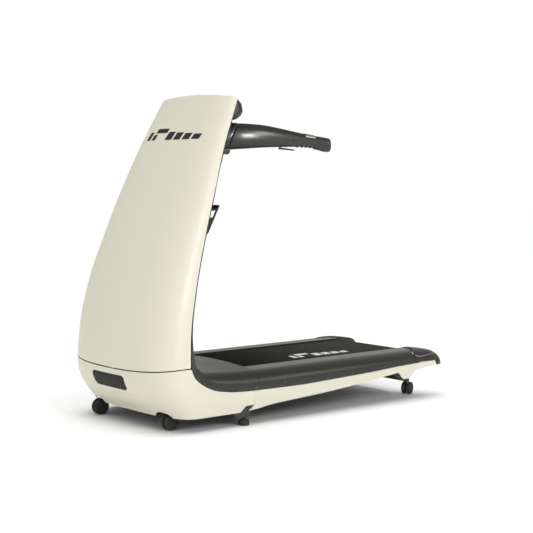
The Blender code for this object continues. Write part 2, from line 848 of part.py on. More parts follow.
# Rear cap: station, crown height, outer x, inner x, lower edge.
CAP_STATIONS = (
    (0.7300, 0.2350, 0.3925, 0.2360, 0.1795),
    (0.7450, 0.2355, 0.3925, 0.2360, 0.1795),
    (0.7700, 0.2335, 0.3922, 0.2360, 0.1795),
    (0.7950, 0.2300, 0.3915, 0.2362, 0.1797),
    (0.8080, 0.2282, 0.3905, 0.2365, 0.1740),
    (0.8170, 0.2268, 0.3895, 0.2370, 0.1560),
    (0.8350, 0.2230, 0.3860, 0.2380, 0.1550),
    (0.8520, 0.2165, 0.3800, 0.2400, 0.1550),
    (0.8640, 0.2060, 0.3720, 0.2430, 0.1560),
    (0.8710, 0.1890, 0.3630, 0.2480, 0.1570),
    (0.8735, 0.1660, 0.3540, 0.2530, 0.1590),
)


def cap_row(y):
    top_z, out_x, in_x, low_z = (along(CAP_STATIONS, y, column) for column in (1, 2, 3, 4))
    height = top_z - low_z
    rise = min(0.030, height * 0.5)
    line = [
        Vector((in_x, y, top_z - rise)),
        Vector((in_x, y, top_z - rise * 0.45)),
        Vector((in_x + 0.0022, y, top_z - rise * 0.16)),
        Vector((in_x + 0.0090, y, top_z - rise * 0.02)),
        Vector((in_x + 0.32 * (out_x - in_x), y, top_z)),
    ]
    top = Vector((in_x + 0.42 * (out_x - in_x), y, top_z - 0.0005))
    line.append(top)
    return raked(line + shoulder(top, Vector((out_x, y, low_z)), 6, 2.15), y)


def raked(line, y):
    """A row of the cap, drawn forward along the seam near its front."""
    hold = max(0.0, 1.0 - (y - CAP_FRONT) / 0.060)
    return [Vector((p.x, p.y + (cap_seam_y(p.x) - CAP_FRONT) * hold, p.z)) for p in line]


CAP_ROWS = (0.7300, 0.742, 0.760, 0.785, 0.797, 0.808, 0.818, 0.835, 0.850, 0.862, 0.8735)


def rear_cap():
    grid = [cap_row(y) for y in CAP_ROWS]
    pair("rear_cap", wall("rear_cap", grid, 0.0025, (0.31, 0.78, 0.12)), DARK)
    twin_of("rear_cap")


# Bright line let into the side of the rear cap: station, height.
TRIM_LINE = (
    (0.7318, 0.2200),
    (0.7350, 0.2130),
    (0.7420, 0.2078),
    (0.7550, 0.2072),
    (0.7720, 0.2088),
    (0.7970, 0.2108),
    (0.8250, 0.2105),
    (0.8500, 0.2065),
)


def cap_spot(station, z):
    """Point of the cap's faceted outer skin on the row at a station."""
    low = max(i for i in range(len(CAP_ROWS) - 1) if CAP_ROWS[i] <= station)
    part = (station - CAP_ROWS[low]) / (CAP_ROWS[low + 1] - CAP_ROWS[low])
    row = [a.lerp(b, part) for a, b in zip(cap_row(CAP_ROWS[low])[5:], cap_row(CAP_ROWS[low + 1])[5:])]
    for a, b in zip(row, row[1:]):
        if b.z <= z <= a.z:
            return a.lerp(b, (a.z - z) / max(a.z - b.z, 1e-9))
    return row[-1]


def rear_trim():
    grid = []
    stations = sorted([0.7318, 0.7360, 0.748, 0.772, 0.826, 0.843, 0.8480] + list(CAP_ROWS[1:-3]))
    for half in (0.0019, 0.0, -0.0019):
        grid.append([])
        for y in stations:
            ends = min(y - stations[0], stations[-1] - y)
            height = along(TRIM_LINE, y) + half * min(1.0, 0.4 + ends / 0.012)
            lift = (0.0022 if half else 0.0028) + 0.28 * max(0.0, height - 0.213)
            spot = cap_spot(y, height)
            grid[-1].append(Vector((spot.x + lift, spot.y, height)))
    pair("rear_trim", wall("rear_trim", grid, 0.0008, (0.30, 0.80, 0.19)), CHROME)
    twin_of("rear_trim")


# ---------------------------------------------------------------- foot rails
def foot_rails():
    for name, low, high, inset, look in (
        ("rail_base", 0.2215, 0.2290, 0.0, DARK_MATT),
        ("foot_rail", 0.2293, 0.2320, 0.0012, STRIP),
    ):
        top, bottom = [], []
        for x in spread(RAIL_IN + inset, RAIL_OUT - inset, 7):
            fall = 0.0028 * (x - RAIL_IN) / (RAIL_OUT - RAIL_IN)
            floor = low if name == "rail_base" else low - fall
            line = spread(HOOD_PROFILE[0][0] + 0.0018 + inset, CAP_FRONT - 0.0015 - inset, 5)
            top.append([Vector((x, y, high - fall)) for y in line])
            bottom.append([Vector((x, y, floor)) for y in line])
        pair(name, two_skins(name, top, bottom), look)
        twin_of(name)


# ---------------------------------------------------------------- running deck
def loop_points(y0, z0, r0, y1, z1, r1, grow, count=14):
    """Closed path round two wheels in the side view, grown outwards by a distance."""
    r0, r1 = r0 + grow, r1 + grow
    gap = math.hypot(y1 - y0, z1 - z0)
    lean = math.atan2(z1 - z0, y1 - y0)
    open_angle = math.acos((r0 - r1) / gap)
    points = []
    for k in range(count + 1):
        a = lean + open_angle + (2 * math.pi - 2 * open_angle) * k / count
        points.append((y0 + r0 * math.cos(a), z0 + r0 * math.sin(a)))
    for k in range(count + 1):
        a = lean - open_angle + 2 * open_angle * k / count
        points.append((y1 + r1 * math.cos(a), z1 + r1 * math.sin(a)))
    return points


def band(name, ends, low, thick, x0, x1):
    """Endless belt of a thickness round two wheels."""
    inner = loop_points(*ends, low)
    outer = loop_points(*ends, low + thick)
    size = len(inner)
    points = [Vector((x, y, z)) for x in (x0, x1) for ring in (outer, inner) for y, z in ring]
    faces = []
    for i in range(size):
        j = (i + 1) % size
        o0, n0, o1, n1 = i, size + i, 2 * size + i, 3 * size + i
        p0, q0, p1, q1 = j, size + j, 2 * size + j, 3 * size + j
        faces += [(o0, p0, p1, o1), (n0, n1, q1, q0), (o0, n0, q0, p0), (o1, p1, q1, n1)]
    return mesh_of(name, points, faces)


FRONT_ROLLER_Z = BELT_TOP - BELT_THICK - FIT_GAP - FRONT_ROLLER_R
REAR_ROLLER_Z = BELT_TOP - BELT_THICK - FIT_GAP - REAR_ROLLER_R


def running_deck():
    ends = (FRONT_ROLLER_Y, FRONT_ROLLER_Z, FRONT_ROLLER_R, REAR_ROLLER_Y, REAR_ROLLER_Z, REAR_ROLLER_R)
    register("running_belt", band("running_belt", ends, FIT_GAP, BELT_THICK, -BELT_HALF, BELT_HALF), BELT, 50)
    bottom = DECK_TOP - DECK_THICK
    register("deck_board", box_mesh(-DECK_HALF, DECK_HALF, DECK_FRONT, DECK_REAR, bottom, DECK_TOP, 0.003), WOOD)
    strip = box_mesh(0.270, 0.292, -0.345, 0.640, BEAM_HIGH + FIT_GAP, bottom - FIT_GAP, 0.0015)
    pair("deck_cushion", strip, RUBBER)
    twin_of("deck_cushion")
    bore = AXLE_R + 0.0007
    half = 0.232
    neck = 0.2395
    front = [(bore, -half), (FRONT_ROLLER_R - 0.001, -half), (FRONT_ROLLER_R, -half + 0.001)]
    front += [(FRONT_ROLLER_R, half - 0.001), (FRONT_ROLLER_R - 0.001, half), (0.014, half), (0.014, neck)]
    front += [(PULLEY_R_ROLLER + 0.001, neck), (PULLEY_R_ROLLER + 0.001, PULLEY_X0), (PULLEY_R_ROLLER, PULLEY_X0 + 0.001)]
    front += [(PULLEY_R_ROLLER, PULLEY_X1 - 0.0005), (0.016, PULLEY_X1), (bore, PULLEY_X1)]
    register("front_roller", turned(front, (0, FRONT_ROLLER_Y, FRONT_ROLLER_Z), (1, 0, 0), 20), STEEL)
    rear = [(bore, -half), (REAR_ROLLER_R - 0.001, -half), (REAR_ROLLER_R, -half + 0.001)]
    rear += [(REAR_ROLLER_R, half - 0.001), (REAR_ROLLER_R - 0.001, half), (bore, half)]
    register("rear_roller", turned(rear, (0, REAR_ROLLER_Y, REAR_ROLLER_Z), (1, 0, 0), 24), STEEL)
    for name, y, z in (("front_axle", FRONT_ROLLER_Y, FRONT_ROLLER_Z), ("rear_axle", REAR_ROLLER_Y, REAR_ROLLER_Z)):
        register(name, rod((-AXLE_HALF, y, z), (1, 0, 0), AXLE_R, 2 * AXLE_HALF, 16, 0.001), STEEL)


# ---------------------------------------------------------------- frames
LEG_OUTLINE = (
    (-0.350, 0.101), (-0.304, 0.101), (-0.304, 0.086), (-0.331, 0.062), (-0.348, 0.0375),
    (-0.404, 0.0375), (-0.426, 0.047), (-0.426, 0.056), (-0.388, 0.060),
)


def castor_place(kind, side):
    x, y = FRONT_CASTOR if kind == "front" else REAR_CASTOR
    return x * side, y


def base_frame():
    half = BEAM_OUT
    frame = register("base_frame", box_mesh(-half, half, -0.720, -0.674, 0.096, 0.140), STEEL_PAINT)
    for side in (1, -1):
        near, far = sorted((BEAM_IN * side, BEAM_OUT * side))
        combine(frame, box_mesh(near, far, BEAM_FRONT, BEAM_REAR, BEAM_LOW, BEAM_HIGH), "UNION")
        near, far = sorted((0.346 * side, 0.374 * side))
        combine(frame, prism(LEG_OUTLINE, near, far), "UNION")
        near, far = sorted((0.246 * side, 0.262 * side))
        arm = ((0.560, 0.150), (0.640, 0.150), (0.752, 0.092), (0.752, 0.066), (0.728, 0.066))
        combine(frame, prism(arm, near, far), "UNION")
        near, far = sorted((0.246 * side, 0.290 * side))
        combine(frame, box_mesh(near, far, 0.565, 0.635, 0.130, 0.150), "UNION")
        x, y = castor_place("rear", side)
        combine(frame, rod((x, y, 0.0630), (0, 0, 1), 0.0145, 0.0305, 16), "UNION")
    combine(frame, box_mesh(-0.3745, 0.3745, -0.3495, -0.3045, 0.098, 0.1285), "UNION")
    combine(frame, box_mesh(-0.290, 0.290, 0.180, 0.220, 0.132, 0.158), "UNION")
    combine(frame, rod((-0.250, 0.740, 0.0732), (1, 0, 0), 0.0100, 0.500, 14), "UNION")
    combine(frame, box_mesh(-0.170, 0.080, -0.690, -0.530, 0.0962, 0.0995), "UNION")
    for side in (1, -1):
        for y, z in ((FRONT_ROLLER_Y, FRONT_ROLLER_Z), (REAR_ROLLER_Y, REAR_ROLLER_Z)):
            near, far = sorted((0.260 * side, 0.310 * side))
            combine(frame, box_mesh(near, far, y - 0.0079, y + 0.0079, z - 0.0079, 0.215))
        x, y = castor_place("front", side)
        combine(frame, rod((x, y, 0.090), (0, 0, 1), 0.0076, 0.030, 14))
        x, y = castor_place("rear", side)
        combine(frame, rod((x, y, 0.050), (0, 0, 1), 0.0076, 0.034, 14))
        combine(frame, rod((FOOT_X * side, FOOT_Y, 0.020), (0, 0, 1), 0.0056, 0.070, 12))


def upright_frame():
    rings = []
    for z in (0.1965, 0.26, 0.34, 0.45, 0.60, 0.75, 0.90, 1.05, 1.18, 1.285):
        share = (z - 0.1965) / 1.10
        x = 0.2835 + (0.216 - 0.2835) * share
        y = shell_at(z)[1] - 0.026
        ring = ((-0.015, -0.012), (0.015, -0.012), (0.015, 0.012), (-0.015, 0.012))
        rings.append([Vector((x + dx, y + dy, z)) for dx, dy in ring])
    left = loft("post", rings)
    right = left.copy()
    right.transform(Matrix.Scale(-1, 4, (1, 0, 0)))
    right.flip_normals()
    frame = register("upright_frame", left, STEEL_PAINT)
    combine(frame, right, "UNION")
    edge = shell_at(1.25)[1]
    combine(frame, box_mesh(-0.222, 0.222, edge - 0.036, edge - 0.016, 1.215, 1.275), "UNION")
    edge = shell_at(0.62)[1]
    combine(frame, box_mesh(-0.262, 0.262, edge - 0.036, edge - 0.016, 0.600, 0.640), "UNION")


def levelling_foot():
    profile = [(0.0, 0.0), (FOOT_R - 0.002, 0.0), (FOOT_R, 0.002), (FOOT_R, 0.0105), (FOOT_R - 0.0015, 0.0115)]
    profile += [(FOOT_R - 0.001, 0.0125), (FOOT_R - 0.001, 0.0205), (FOOT_R - 0.003, 0.0220)]
    profile += [(0.012, 0.0228), (0.010, 0.0235), (0.010, 0.0285), (0.005, 0.0288), (0.005, 0.0700), (0.0, 0.0705)]
    mesh = turned(profile, (FOOT_X, FOOT_Y, 0.0), (0, 0, 1), 16, bored=False)
    pair("levelling_foot", mesh, RUBBER)
    twin_of("levelling_foot")


# ---------------------------------------------------------------- drive
def drive():
    r = MOTOR_R
    body = [(0.0, -0.170), (0.018, -0.170), (0.020, -0.166), (r - 0.006, -0.166), (r, -0.160), (r, -0.128)]
    body += [(r - 0.003, -0.126), (r - 0.003, 0.040), (r, 0.042), (r, 0.070), (r - 0.005, 0.076), (0.016, 0.0765)]
    body += [(0.014, 0.0795), (0.0, 0.0795)]
    register("drive_motor", turned(body, (0, MOTOR_Y, MOTOR_Z), (1, 0, 0), 20, bored=False), STEEL_PAINT)
    rotor = [(0.0, 0.0803), (0.0075, 0.0803), (0.0075, 0.1000), (0.0580, 0.1000), (0.0600, 0.1020), (0.0600, 0.1330)]
    rotor += [(0.0580, 0.1350), (0.0075, 0.1350), (0.0075, PULLEY_X0 - 0.001), (PULLEY_R_MOTOR + 0.0012, PULLEY_X0 - 0.001)]
    rotor += [(PULLEY_R_MOTOR + 0.0012, PULLEY_X0), (PULLEY_R_MOTOR, PULLEY_X0 + 0.001), (PULLEY_R_MOTOR, PULLEY_X1)]
    rotor += [(0.0, PULLEY_X1)]
    register("motor_rotor", turned(rotor, (0, MOTOR_Y, MOTOR_Z), (1, 0, 0), 20, bored=False), STEEL)
    ends = (MOTOR_Y, MOTOR_Z, PULLEY_R_MOTOR, FRONT_ROLLER_Y, FRONT_ROLLER_Z, PULLEY_R_ROLLER)
    register("drive_belt", band("drive_belt", ends, FIT_GAP, 0.0025, PULLEY_X0 + 0.0018, PULLEY_X1 - 0.001), RUBBER, 50)
    register("controller", box_mesh(-0.150, 0.060, -0.772, -0.655, 0.1405, 0.1850, 0.004), ALUMINIUM)


def belly_pan():
    outline = []
    for station in (-0.445, -0.52, -0.60):
        outline.append((0.366, station))
    for angle in spread(84, -84, 23):
        a = math.radians(angle)
        outline.append((0.366 * signed_power(math.sin(a), 2 / 3), -0.602 - 0.110 * abs(math.cos(a)) ** (2 / 3.1)))
    for station in (-0.60, -0.52, -0.445):
        outline.append((-0.366, station))
    pan = loft("belly_pan", [[Vector((x, y, z)) for x, y in outline] for z in (0.0640, 0.0665)])
    piece = register("belly_pan", pan, DARK_MATT)
    for side in (1, -1):
        x, y = castor_place("front", side)
        combine(piece, rod((x, y, 0.02), (0, 0, 1), CASTOR_CLEARANCE, 0.08, 32))


# ---------------------------------------------------------------- castors
def castor_axle(kind, side):
    turn = math.radians(0.0 if kind == "front" else REAR_TURN * side)
    return Vector((math.cos(turn), math.sin(turn), 0.0))


def castor_hub(kind, side):
    x, y = castor_place(kind, side)
    axle = castor_axle(kind, side)
    if kind == "front":
        return Vector((x, y + FRONT_TRAIL * side, FRONT_WHEEL_R))
    return Vector((x - axle.y * REAR_TRAIL, y + axle.x * REAR_TRAIL, REAR_WHEEL_R))


def castor(kind, side):
    label = f"{kind}_castor_{'L' if side > 0 else 'R'}"
    x, y = castor_place(kind, side)
    radius = FRONT_WHEEL_R if kind == "front" else REAR_WHEEL_R
    axle = castor_axle(kind, side)
    hub = castor_hub(kind, side)
    stem_high = 0.117 if kind == "front" else 0.0825
    body = register(f"{label}_fork", turned(
        [(0.0, -0.0045), (0.021, -0.0045), (0.022, -0.0035), (0.022, 0.0035), (0.021, 0.0045), (0.0, 0.0045)],
        hub, axle, 14, bored=False), DARK_MATT)
    top = 2 * radius + 0.004 if kind == "front" else 2 * radius + 0.0010
    across = Vector((hub.x - x, hub.y - y, 0.0)).normalized()
    rings = []
    for place, z in ((hub + across * 0.001, radius + 0.006), (Vector((x, y, 0.0)), top + 0.0008)):
        ring = ((-0.0039, -0.009), (0.0039, -0.009), (0.0039, 0.009), (-0.0039, 0.009))
        rings.append([Vector((place.x, place.y, z)) + axle * a + across * b for a, b in ring])
    combine(body, loft("neck", rings), "UNION")
    if kind == "front":
        combine(body, rod((x, y, top), (0, 0, 1), 0.0165, 0.0060, 16), "UNION")
        combine(body, rod((x, y, top + 0.003), (0, 0, 1), 0.0070, stem_high - top - 0.003, 14), "UNION")
    else:
        combine(body, rod((x, y, top), (0, 0, 1), 0.0120, 0.0015, 16), "UNION")
        combine(body, rod((x, y, top + 0.0007), (0, 0, 1), 0.0070, stem_high - top - 0.0007, 14), "UNION")
    combine(body, rod(hub - axle * 0.02, axle, 0.0045, 0.04, 10))
    half = 0.019 if kind == "front" else REAR_WHEEL_HALF
    inner = 0.0053
    spool = [(0.0, -half + 0.0015), (radius * 0.60, -half + 0.0015)]
    spool += [(radius * 0.66, -half), (radius - 0.004, -half), (radius, -half + 0.004), (radius, -inner - 0.003)]
    spool += [(radius - 0.003, -inner), (0.004, -inner), (0.004, inner), (radius - 0.003, inner), (radius, inner + 0.003)]
    spool += [(radius, half - 0.004), (radius - 0.004, half), (radius * 0.66, half), (radius * 0.60, half - 0.0015)]
    spool += [(0.0, half - 0.0015)]
    register(f"{label}_wheels", turned(spool, hub, axle, 20, bored=False), RUBBER, 35)


# ---------------------------------------------------------------- console
def shell_inner_x(z, behind):
    """Half width inside the shell at a distance in front of its rear edge."""
    width, _, depth = shell_at(z)
    share = 1 - (behind / depth) ** SHELL_NOSE_POWER
    return width * share ** (1 / SHELL_SIDE_POWER) - SHELL_WALL


def console_ring(z, steps=4):
    plateau = along(CONSOLE_PROFILE, z)
    back = shell_at(z)[1] - CONSOLE_BACK
    half = CONSOLE_HALF - 0.006 * ((z - 1.3185) / 0.1045)
    flange = half + 0.0005
    if z < FLANGE_TOP:
        flange = shell_inner_x(z, CONSOLE_BACK) - TOP_CAP_GAP
    front = back + FLANGE_THICK
    ring = [(flange, back), (flange, front)]
    for k in range(steps + 1):
        a = math.radians(90 * k / steps)
        x = half - 0.034 + 0.034 * math.cos(a) ** (2 / 2.4)
        ring.append((x, front + (plateau - front) * math.sin(a) ** (2 / 2.4)))
    ring += [(x, plateau + 0.004 * (1 - (x / half) ** 2)) for x in (0.12, 0.04)]
    return ring + [(-x, y) for x, y in ring[::-1]]


def console_arch(x, z):
    return 0.014 * max(0.0, (z - 1.3185) / 0.1045) * (1 - (x / 0.26) ** 2)


def console_level(z):
    return [Vector((x, y, z + console_arch(x, z))) for x, y in console_ring(z)]


def console_face(x, z):
    """Point and outward normal on the user's side of the console, away from its ends."""
    half = CONSOLE_HALF - 0.006 * ((z - 1.3185) / 0.1045)

    def at(height):
        y = along(CONSOLE_PROFILE, height) + 0.004 * (1 - (x / half) ** 2)
        return Vector((x, y, height + console_arch(x, height)))

    point = at(z)
    slope = at(z + 0.003) - at(z - 0.003)
    normal = Vector((0.0, slope.z, -slope.y)).normalized()
    return point, normal


def console():
    levels = (1.3185, 1.323, 1.331, 1.345, 1.364, 1.384, 1.402, 1.415, 1.4245)
    housing = register("console_housing", loft("console_housing", [console_level(z) for z in levels]), DARK, 50)
    outer, inner = [], []
    for z in spread(1.374, 1.412, 4):
        near, far = [], []
        for x in spread(-0.140, 0.140, 7):
            point, normal = console_face(x, z)
            near.append(point + normal * 0.0008)
            far.append(point + normal * 0.0026)
        outer.append(far)
        inner.append(near)
    register("console_display", two_skins("console_display", outer, inner), GLASS)
    for name, look in (("start_button", GREEN), ("stop_button", RED)):
        point, normal = console_face(*CONSOLE_KEYS[name])
        combine(housing, rod(point - normal * 0.0055, normal, BUTTON_R + 0.0008, 0.020, 16))
        low = point - normal * 0.0035
        profile = [(0.0, 0.0), (BUTTON_R, 0.0), (BUTTON_R, 0.0042), (BUTTON_R - 0.0012, 0.0055), (0.0, 0.0062)]
        register(name, turned(profile, low, normal, 16, bored=False), look)
    point, normal = console_face(*CONSOLE_KEYS["safety_key"])
    combine(housing, rod(point - normal * 0.0045, normal, KEY_R + 0.0010, 0.020, 16))
    low = point - normal * 0.0038
    profile = [(0.0, 0.0), (KEY_R, 0.0), (KEY_R, 0.0070), (KEY_R - 0.002, 0.0095), (0.0, 0.0105)]
    register("safety_key", turned(profile, low, normal, 16, bored=False), RED)


def top_cap():
    """Panel that closes the top of the shell, in front of the console."""
    rings = []
    for z in (TOP_CAP_Z, TOP_CAP_Z + 0.003):
        ring = []
        for angle in spread(-79, 79, 19):
            here = shell_point(math.radians(angle), z)
            ahead = shell_point(math.radians(angle + 1), z) - shell_point(math.radians(angle - 1), z)
            inward = Vector((-ahead.y, ahead.x, 0.0)).normalized()
            ring.append(here + inward * (SHELL_WALL + TOP_CAP_GAP))
        back = shell_at(z)[1] - CONSOLE_BACK - 3 * FIT_GAP
        ring += [Vector((ring[-1].x, back, z)), Vector((ring[0].x, back, z))]
        rings.append(ring)
    register("top_cap", loft("top_cap", rings), DARK_MATT, 30)


# ---------------------------------------------------------------- handlebars
def arm_frame(part):
    """Centre, tangent, side vector and half sizes of the handlebar."""
    x, y, z, tall, wide = spline(ARM_STATIONS, part)
    ahead = spline(ARM_STATIONS, min(part + 0.01, 1.0))
    behind = spline(ARM_STATIONS, max(part - 0.01, 0.0))
    tangent = Vector((ahead[0] - behind[0], ahead[1] - behind[1], 0.0)).normalized()
    side = Vector((tangent.y, -tangent.x, 0.0))
    return Vector((x, y, z)), tangent, side, tall, wide


def finger_wave(part):
    """Finger grooves under the grip, then the knob at the end."""
    if GROOVE_START < part < KNOB_START:
        return 0.0026 * math.sin((part - GROOVE_START) / (KNOB_START - GROOVE_START) * math.pi * 8)
    if part >= KNOB_START:
        return 0.0045 * math.sin(min(1.0, (part - KNOB_START) / 0.03) * math.pi / 2)
    return 0.0


def arm_ring(part, scale=1.0, grow=0.0, count=18, lean=0.0, shift=0.0):
    centre, tangent, side, tall, wide = arm_frame(part)
    ring = []
    for k in range(count):
        a = 2 * math.pi * k / count
        out = (wide * scale + grow) * signed_power(math.cos(a), 2 / ARM_POWER)
        up = (tall * scale + grow) * signed_power(math.sin(a), 2 / ARM_POWER)
        if math.sin(a) < -0.5:
            up -= finger_wave(part) * scale
        ring.append(centre + side * out + Vector((0, 0, up)) + tangent * (lean * up + shift))
    return ring


LEAN = 0.40


def collar():
    rings = []
    base = []
    for point in arm_ring(0.0, grow=0.0030):
        tangent = arm_frame(0.0)[1]
        spot = point.copy()
        for _ in range(12):
            gap = spot.y - (cover_skin_y(spot.x, spot.z) + 2 * FIT_GAP)
            spot = spot - tangent * (gap / tangent.y)
        base.append(spot)
    rings.append(base)
    target = arm_ring(0.120, grow=0.0018, lean=LEAN)
    for share in (0.35, 0.70, 1.0):
        rings.append([near.lerp(far, share) for near, far in zip(base, target)])
    rings.append(arm_ring(COLLAR_END - 0.008, grow=0.0014, lean=LEAN))
    rings.append(arm_ring(COLLAR_END, grow=-0.0004, lean=LEAN))
    pair("handlebar_collar", loft("handlebar_collar", rings), DARK, 30)
    twin_of("handlebar_collar")


def handlebar():
    rings = [arm_ring(COLLAR_END, grow=-0.0006, lean=LEAN, shift=0.0005)]
    rings.append(arm_ring(COLLAR_END + 0.012, lean=LEAN))
    parts = [0.24, 0.33, 0.42, 0.51, GROOVE_START]
    parts += [GROOVE_START + (KNOB_START - GROOVE_START) * (k + 0.5) / 8 for k in range(8)]
    parts += [KNOB_START, KNOB_START + 0.012, KNOB_START + 0.03, 0.86, 0.935]
    for part in parts:
        rings.append(arm_ring(part, lean=LEAN * max(0.0, 1 - (part - 0.18) / 0.4)))
    for part, scale in ((0.965, 0.94), (ARM_TIP, 0.80), (1.0, 0.45)):
        rings.append(arm_ring(part, scale=scale))
    pair("handlebar", loft("handlebar", rings), DARK, 50)


def arm_skin(part, angle, lift):
    """Point above the handlebar's skin at an angle round it, 90 degrees being the top."""
    centre, tangent, side, tall, wide = arm_frame(part)
    a = math.radians(angle)
    out = (wide + lift) * signed_power(math.cos(a), 2 / ARM_POWER)
    up = (tall + lift) * signed_power(math.sin(a), 2 / ARM_POWER)
    return centre + side * out + Vector((0, 0, up))


def pulse_plate():
    outer, inner = [], []
    for part in spread(0.665, 0.755, 5):
        outer.append([arm_skin(part, angle, 0.0022) for angle in spread(125, 55, 7)])
        inner.append([arm_skin(part, angle, 0.0008) for angle in spread(125, 55, 7)])
    pair("pulse_plate", two_skins("pulse_plate", outer, inner), STEEL)
    twin_of("pulse_plate")


PADDLE_START = 0.495
PADDLE_END = 0.592


def paddle_pivot():
    """Middle of the paddle's pin, inside the handlebar, and the direction of the pin."""
    centre, tangent, side, tall, _ = arm_frame(PADDLE_START)
    return centre + tangent * 0.0045 + Vector((0, 0, 0.0055 - tall)), side


def speed_paddle():
    rings = []
    for k, part in enumerate(spread(PADDLE_START, PADDLE_END, 7)):
        centre, tangent, side, tall, wide = arm_frame(part)
        share = k / 6
        half = 0.0095 * (1.0 - 0.35 * share**3)
        top = centre.z - tall - 0.0009 - 0.0100 * share
        thick = 0.0055 - 0.0020 * share
        ring = ((-half, -0.001), (-half + 0.002, 0.0), (half - 0.002, 0.0), (half, -0.001))
        ring += ((half - 0.001, -thick + 0.001), (half - 0.003, -thick), (-half + 0.003, -thick), (-half + 0.001, -thick + 0.001))
        rings.append([Vector((centre.x, centre.y, top)) + side * dx + Vector((0, 0, dz)) for dx, dz in ring])
    paddle = pair("speed_paddle", loft("speed_paddle", rings), DARK_MATT, 30)
    spot, side = paddle_pivot()
    combine(paddle, rod(spot - side * 0.0045, side, 0.0034, 0.0090, 12), "UNION")
    combine(paddle, rod(spot - Vector((0, 0, 0.0080)), (0, 0, 1), 0.0022, 0.0080, 8), "UNION")
    combine(bpy.data.objects["handlebar_L"], rod(spot - side * 0.0050, side, 0.0041, 0.0100, 12))
    combine(bpy.data.objects["handlebar_L"], rod(spot - Vector((0, 0, 0.0090)), (0, 0, 1), 0.0034, 0.0090, 8))
    twin_of("speed_paddle")


# ---------------------------------------------------------------- bottle holders
HOLDER_X0 = 0.236
HOLDER_X1 = 0.322


def bottle_holder():
    def back(z):
        return max(cover_skin_y(x, z) for x in (HOLDER_X0, 0.28, HOLDER_X1)) + 1.5 * FIT_GAP

    heights = [0.832] + [z for z in COVER_ROWS if 0.832 < z < 1.030] + [1.030]
    outline = [(back(z), z) for z in heights]
    outline += [(back(1.030) + 0.004, 1.029), (back(0.975) + 0.005, 0.975), (back(0.970) + 0.011, 0.968)]
    outline += [(back(0.960) + 0.011, 0.960), (back(0.955) + 0.005, 0.955), (back(0.940) + 0.005, 0.9405)]
    outline += [(-0.4790, 0.9405), (-0.4685, 0.9560), (-0.4640, 0.9560), (-0.4670, 0.9470)]
    outline += [(-0.5230, 0.8400), (-0.5290, 0.8330), (-0.5450, 0.8310)]
    holder = pair("bottle_holder", prism(outline, HOLDER_X0, HOLDER_X1), DARK_MATT)
    inner = [(back(0.850) + 0.005, 0.850), (back(0.975) + 0.005, 0.975), (-0.4600, 0.975), (-0.4730, 0.9420)]
    inner += [(-0.5250, 0.8500)]
    combine(holder, prism(inner, HOLDER_X0 + 0.0035, HOLDER_X1 - 0.0035))
    window = [(back(0.903) + 0.006, 0.903), (back(0.932) + 0.006, 0.932), (-0.4817, 0.932), (-0.4980, 0.903)]
    combine(holder, prism(window, HOLDER_X0 - 0.01, HOLDER_X1 + 0.01))
    combine(holder, box_mesh(HOLDER_X0 + 0.010, HOLDER_X1 - 0.010, -0.5000, -0.4400, 0.903, 0.932))
    twin_of("bottle_holder")


# ---------------------------------------------------------------- mains inlet and switch, on the right-hand side
SWITCH_OUTLINE = ((-0.3925, -0.4885), (-0.3890, -0.4780), (-0.3900, -0.4675), (-0.3800, -0.4730), (-0.3800, -0.4830))
SWITCH_PIVOT = (-0.3810, -0.4780, 0.1110)


def mains():
    x0, x1 = -0.3905, -0.3680
    inlet = register("mains_inlet", box_mesh(x0, x1, -0.5385, -0.4555, 0.0945, 0.1275, 0.001), DARK_MATT)
    combine(inlet, box_mesh(-0.40, -0.3730, -0.5320, -0.5040, 0.1005, 0.1215))
    for k, height in ((-1, 0.1075), (1, 0.1075), (0, 0.1145)):
        y = -0.5180 + 0.007 * k
        combine(inlet, box_mesh(-0.3860, -0.3700, y - 0.0008, y + 0.0008, height - 0.002, height + 0.002), "UNION")
    combine(inlet, box_mesh(-0.40, -0.3770, -0.4920, -0.4640, 0.1020, 0.1200))
    rings = [[Vector((x, y, z)) for x, y in SWITCH_OUTLINE] for z in (0.1030, 0.1190)]
    register("power_switch", loft("power_switch", rings), RED, 30)


# ---------------------------------------------------------------- joint axes
def set_origin(piece, place):
    """Put a piece's origin on its joint axis and leave the piece where it is."""
    piece.data.transform(Matrix.Translation(-place))
    piece.location = place


def pivots():
    """A point of each moving piece's axis, before the shift to the final origin."""
    places = {
        "front_roller": Vector((0.0, FRONT_ROLLER_Y, FRONT_ROLLER_Z)),
        "rear_roller": Vector((0.0, REAR_ROLLER_Y, REAR_ROLLER_Z)),
        "motor_rotor": Vector((0.0, MOTOR_Y, MOTOR_Z)),
        "power_switch": Vector(SWITCH_PIVOT),
    }
    for hand, side in (("L", 1), ("R", -1)):
        spot, _ = paddle_pivot()
        places[f"speed_paddle_{hand}"] = Vector((spot.x * side, spot.y, spot.z))
        places[f"levelling_foot_{hand}"] = Vector((FOOT_X * side, FOOT_Y, 0.0))
        for kind in ("front", "rear"):
            x, y = castor_place(kind, side)
            places[f"{kind}_castor_{hand}_fork"] = Vector((x, y, 0.0))
            places[f"{kind}_castor_{hand}_wheels"] = castor_hub(kind, side)
    for name, (x, z) in CONSOLE_KEYS.items():
        places[name] = console_face(x, z)[0]
    return places


# ---------------------------------------------------------------- assembly
upper_shell()
lower_shell()
grille()
skirt()
motor_hood()
column_cover()
side_cover()
rear_cap()
rear_trim()
foot_rails()
running_deck()
base_frame()
upright_frame()
levelling_foot()
drive()
belly_pan()
for place in ("front", "rear"):
    for hand in (1, -1):
        castor(place, hand)
console()
top_cap()
collar()
handlebar()
pulse_plate()
speed_paddle()
twin_of("handlebar")
bottle_holder()
mains()

for solid in bpy.data.objects:
    if solid.type == "MESH":
        solid.data.transform(Matrix.Translation((0.0, ORIGIN_SHIFT, 0.0)))

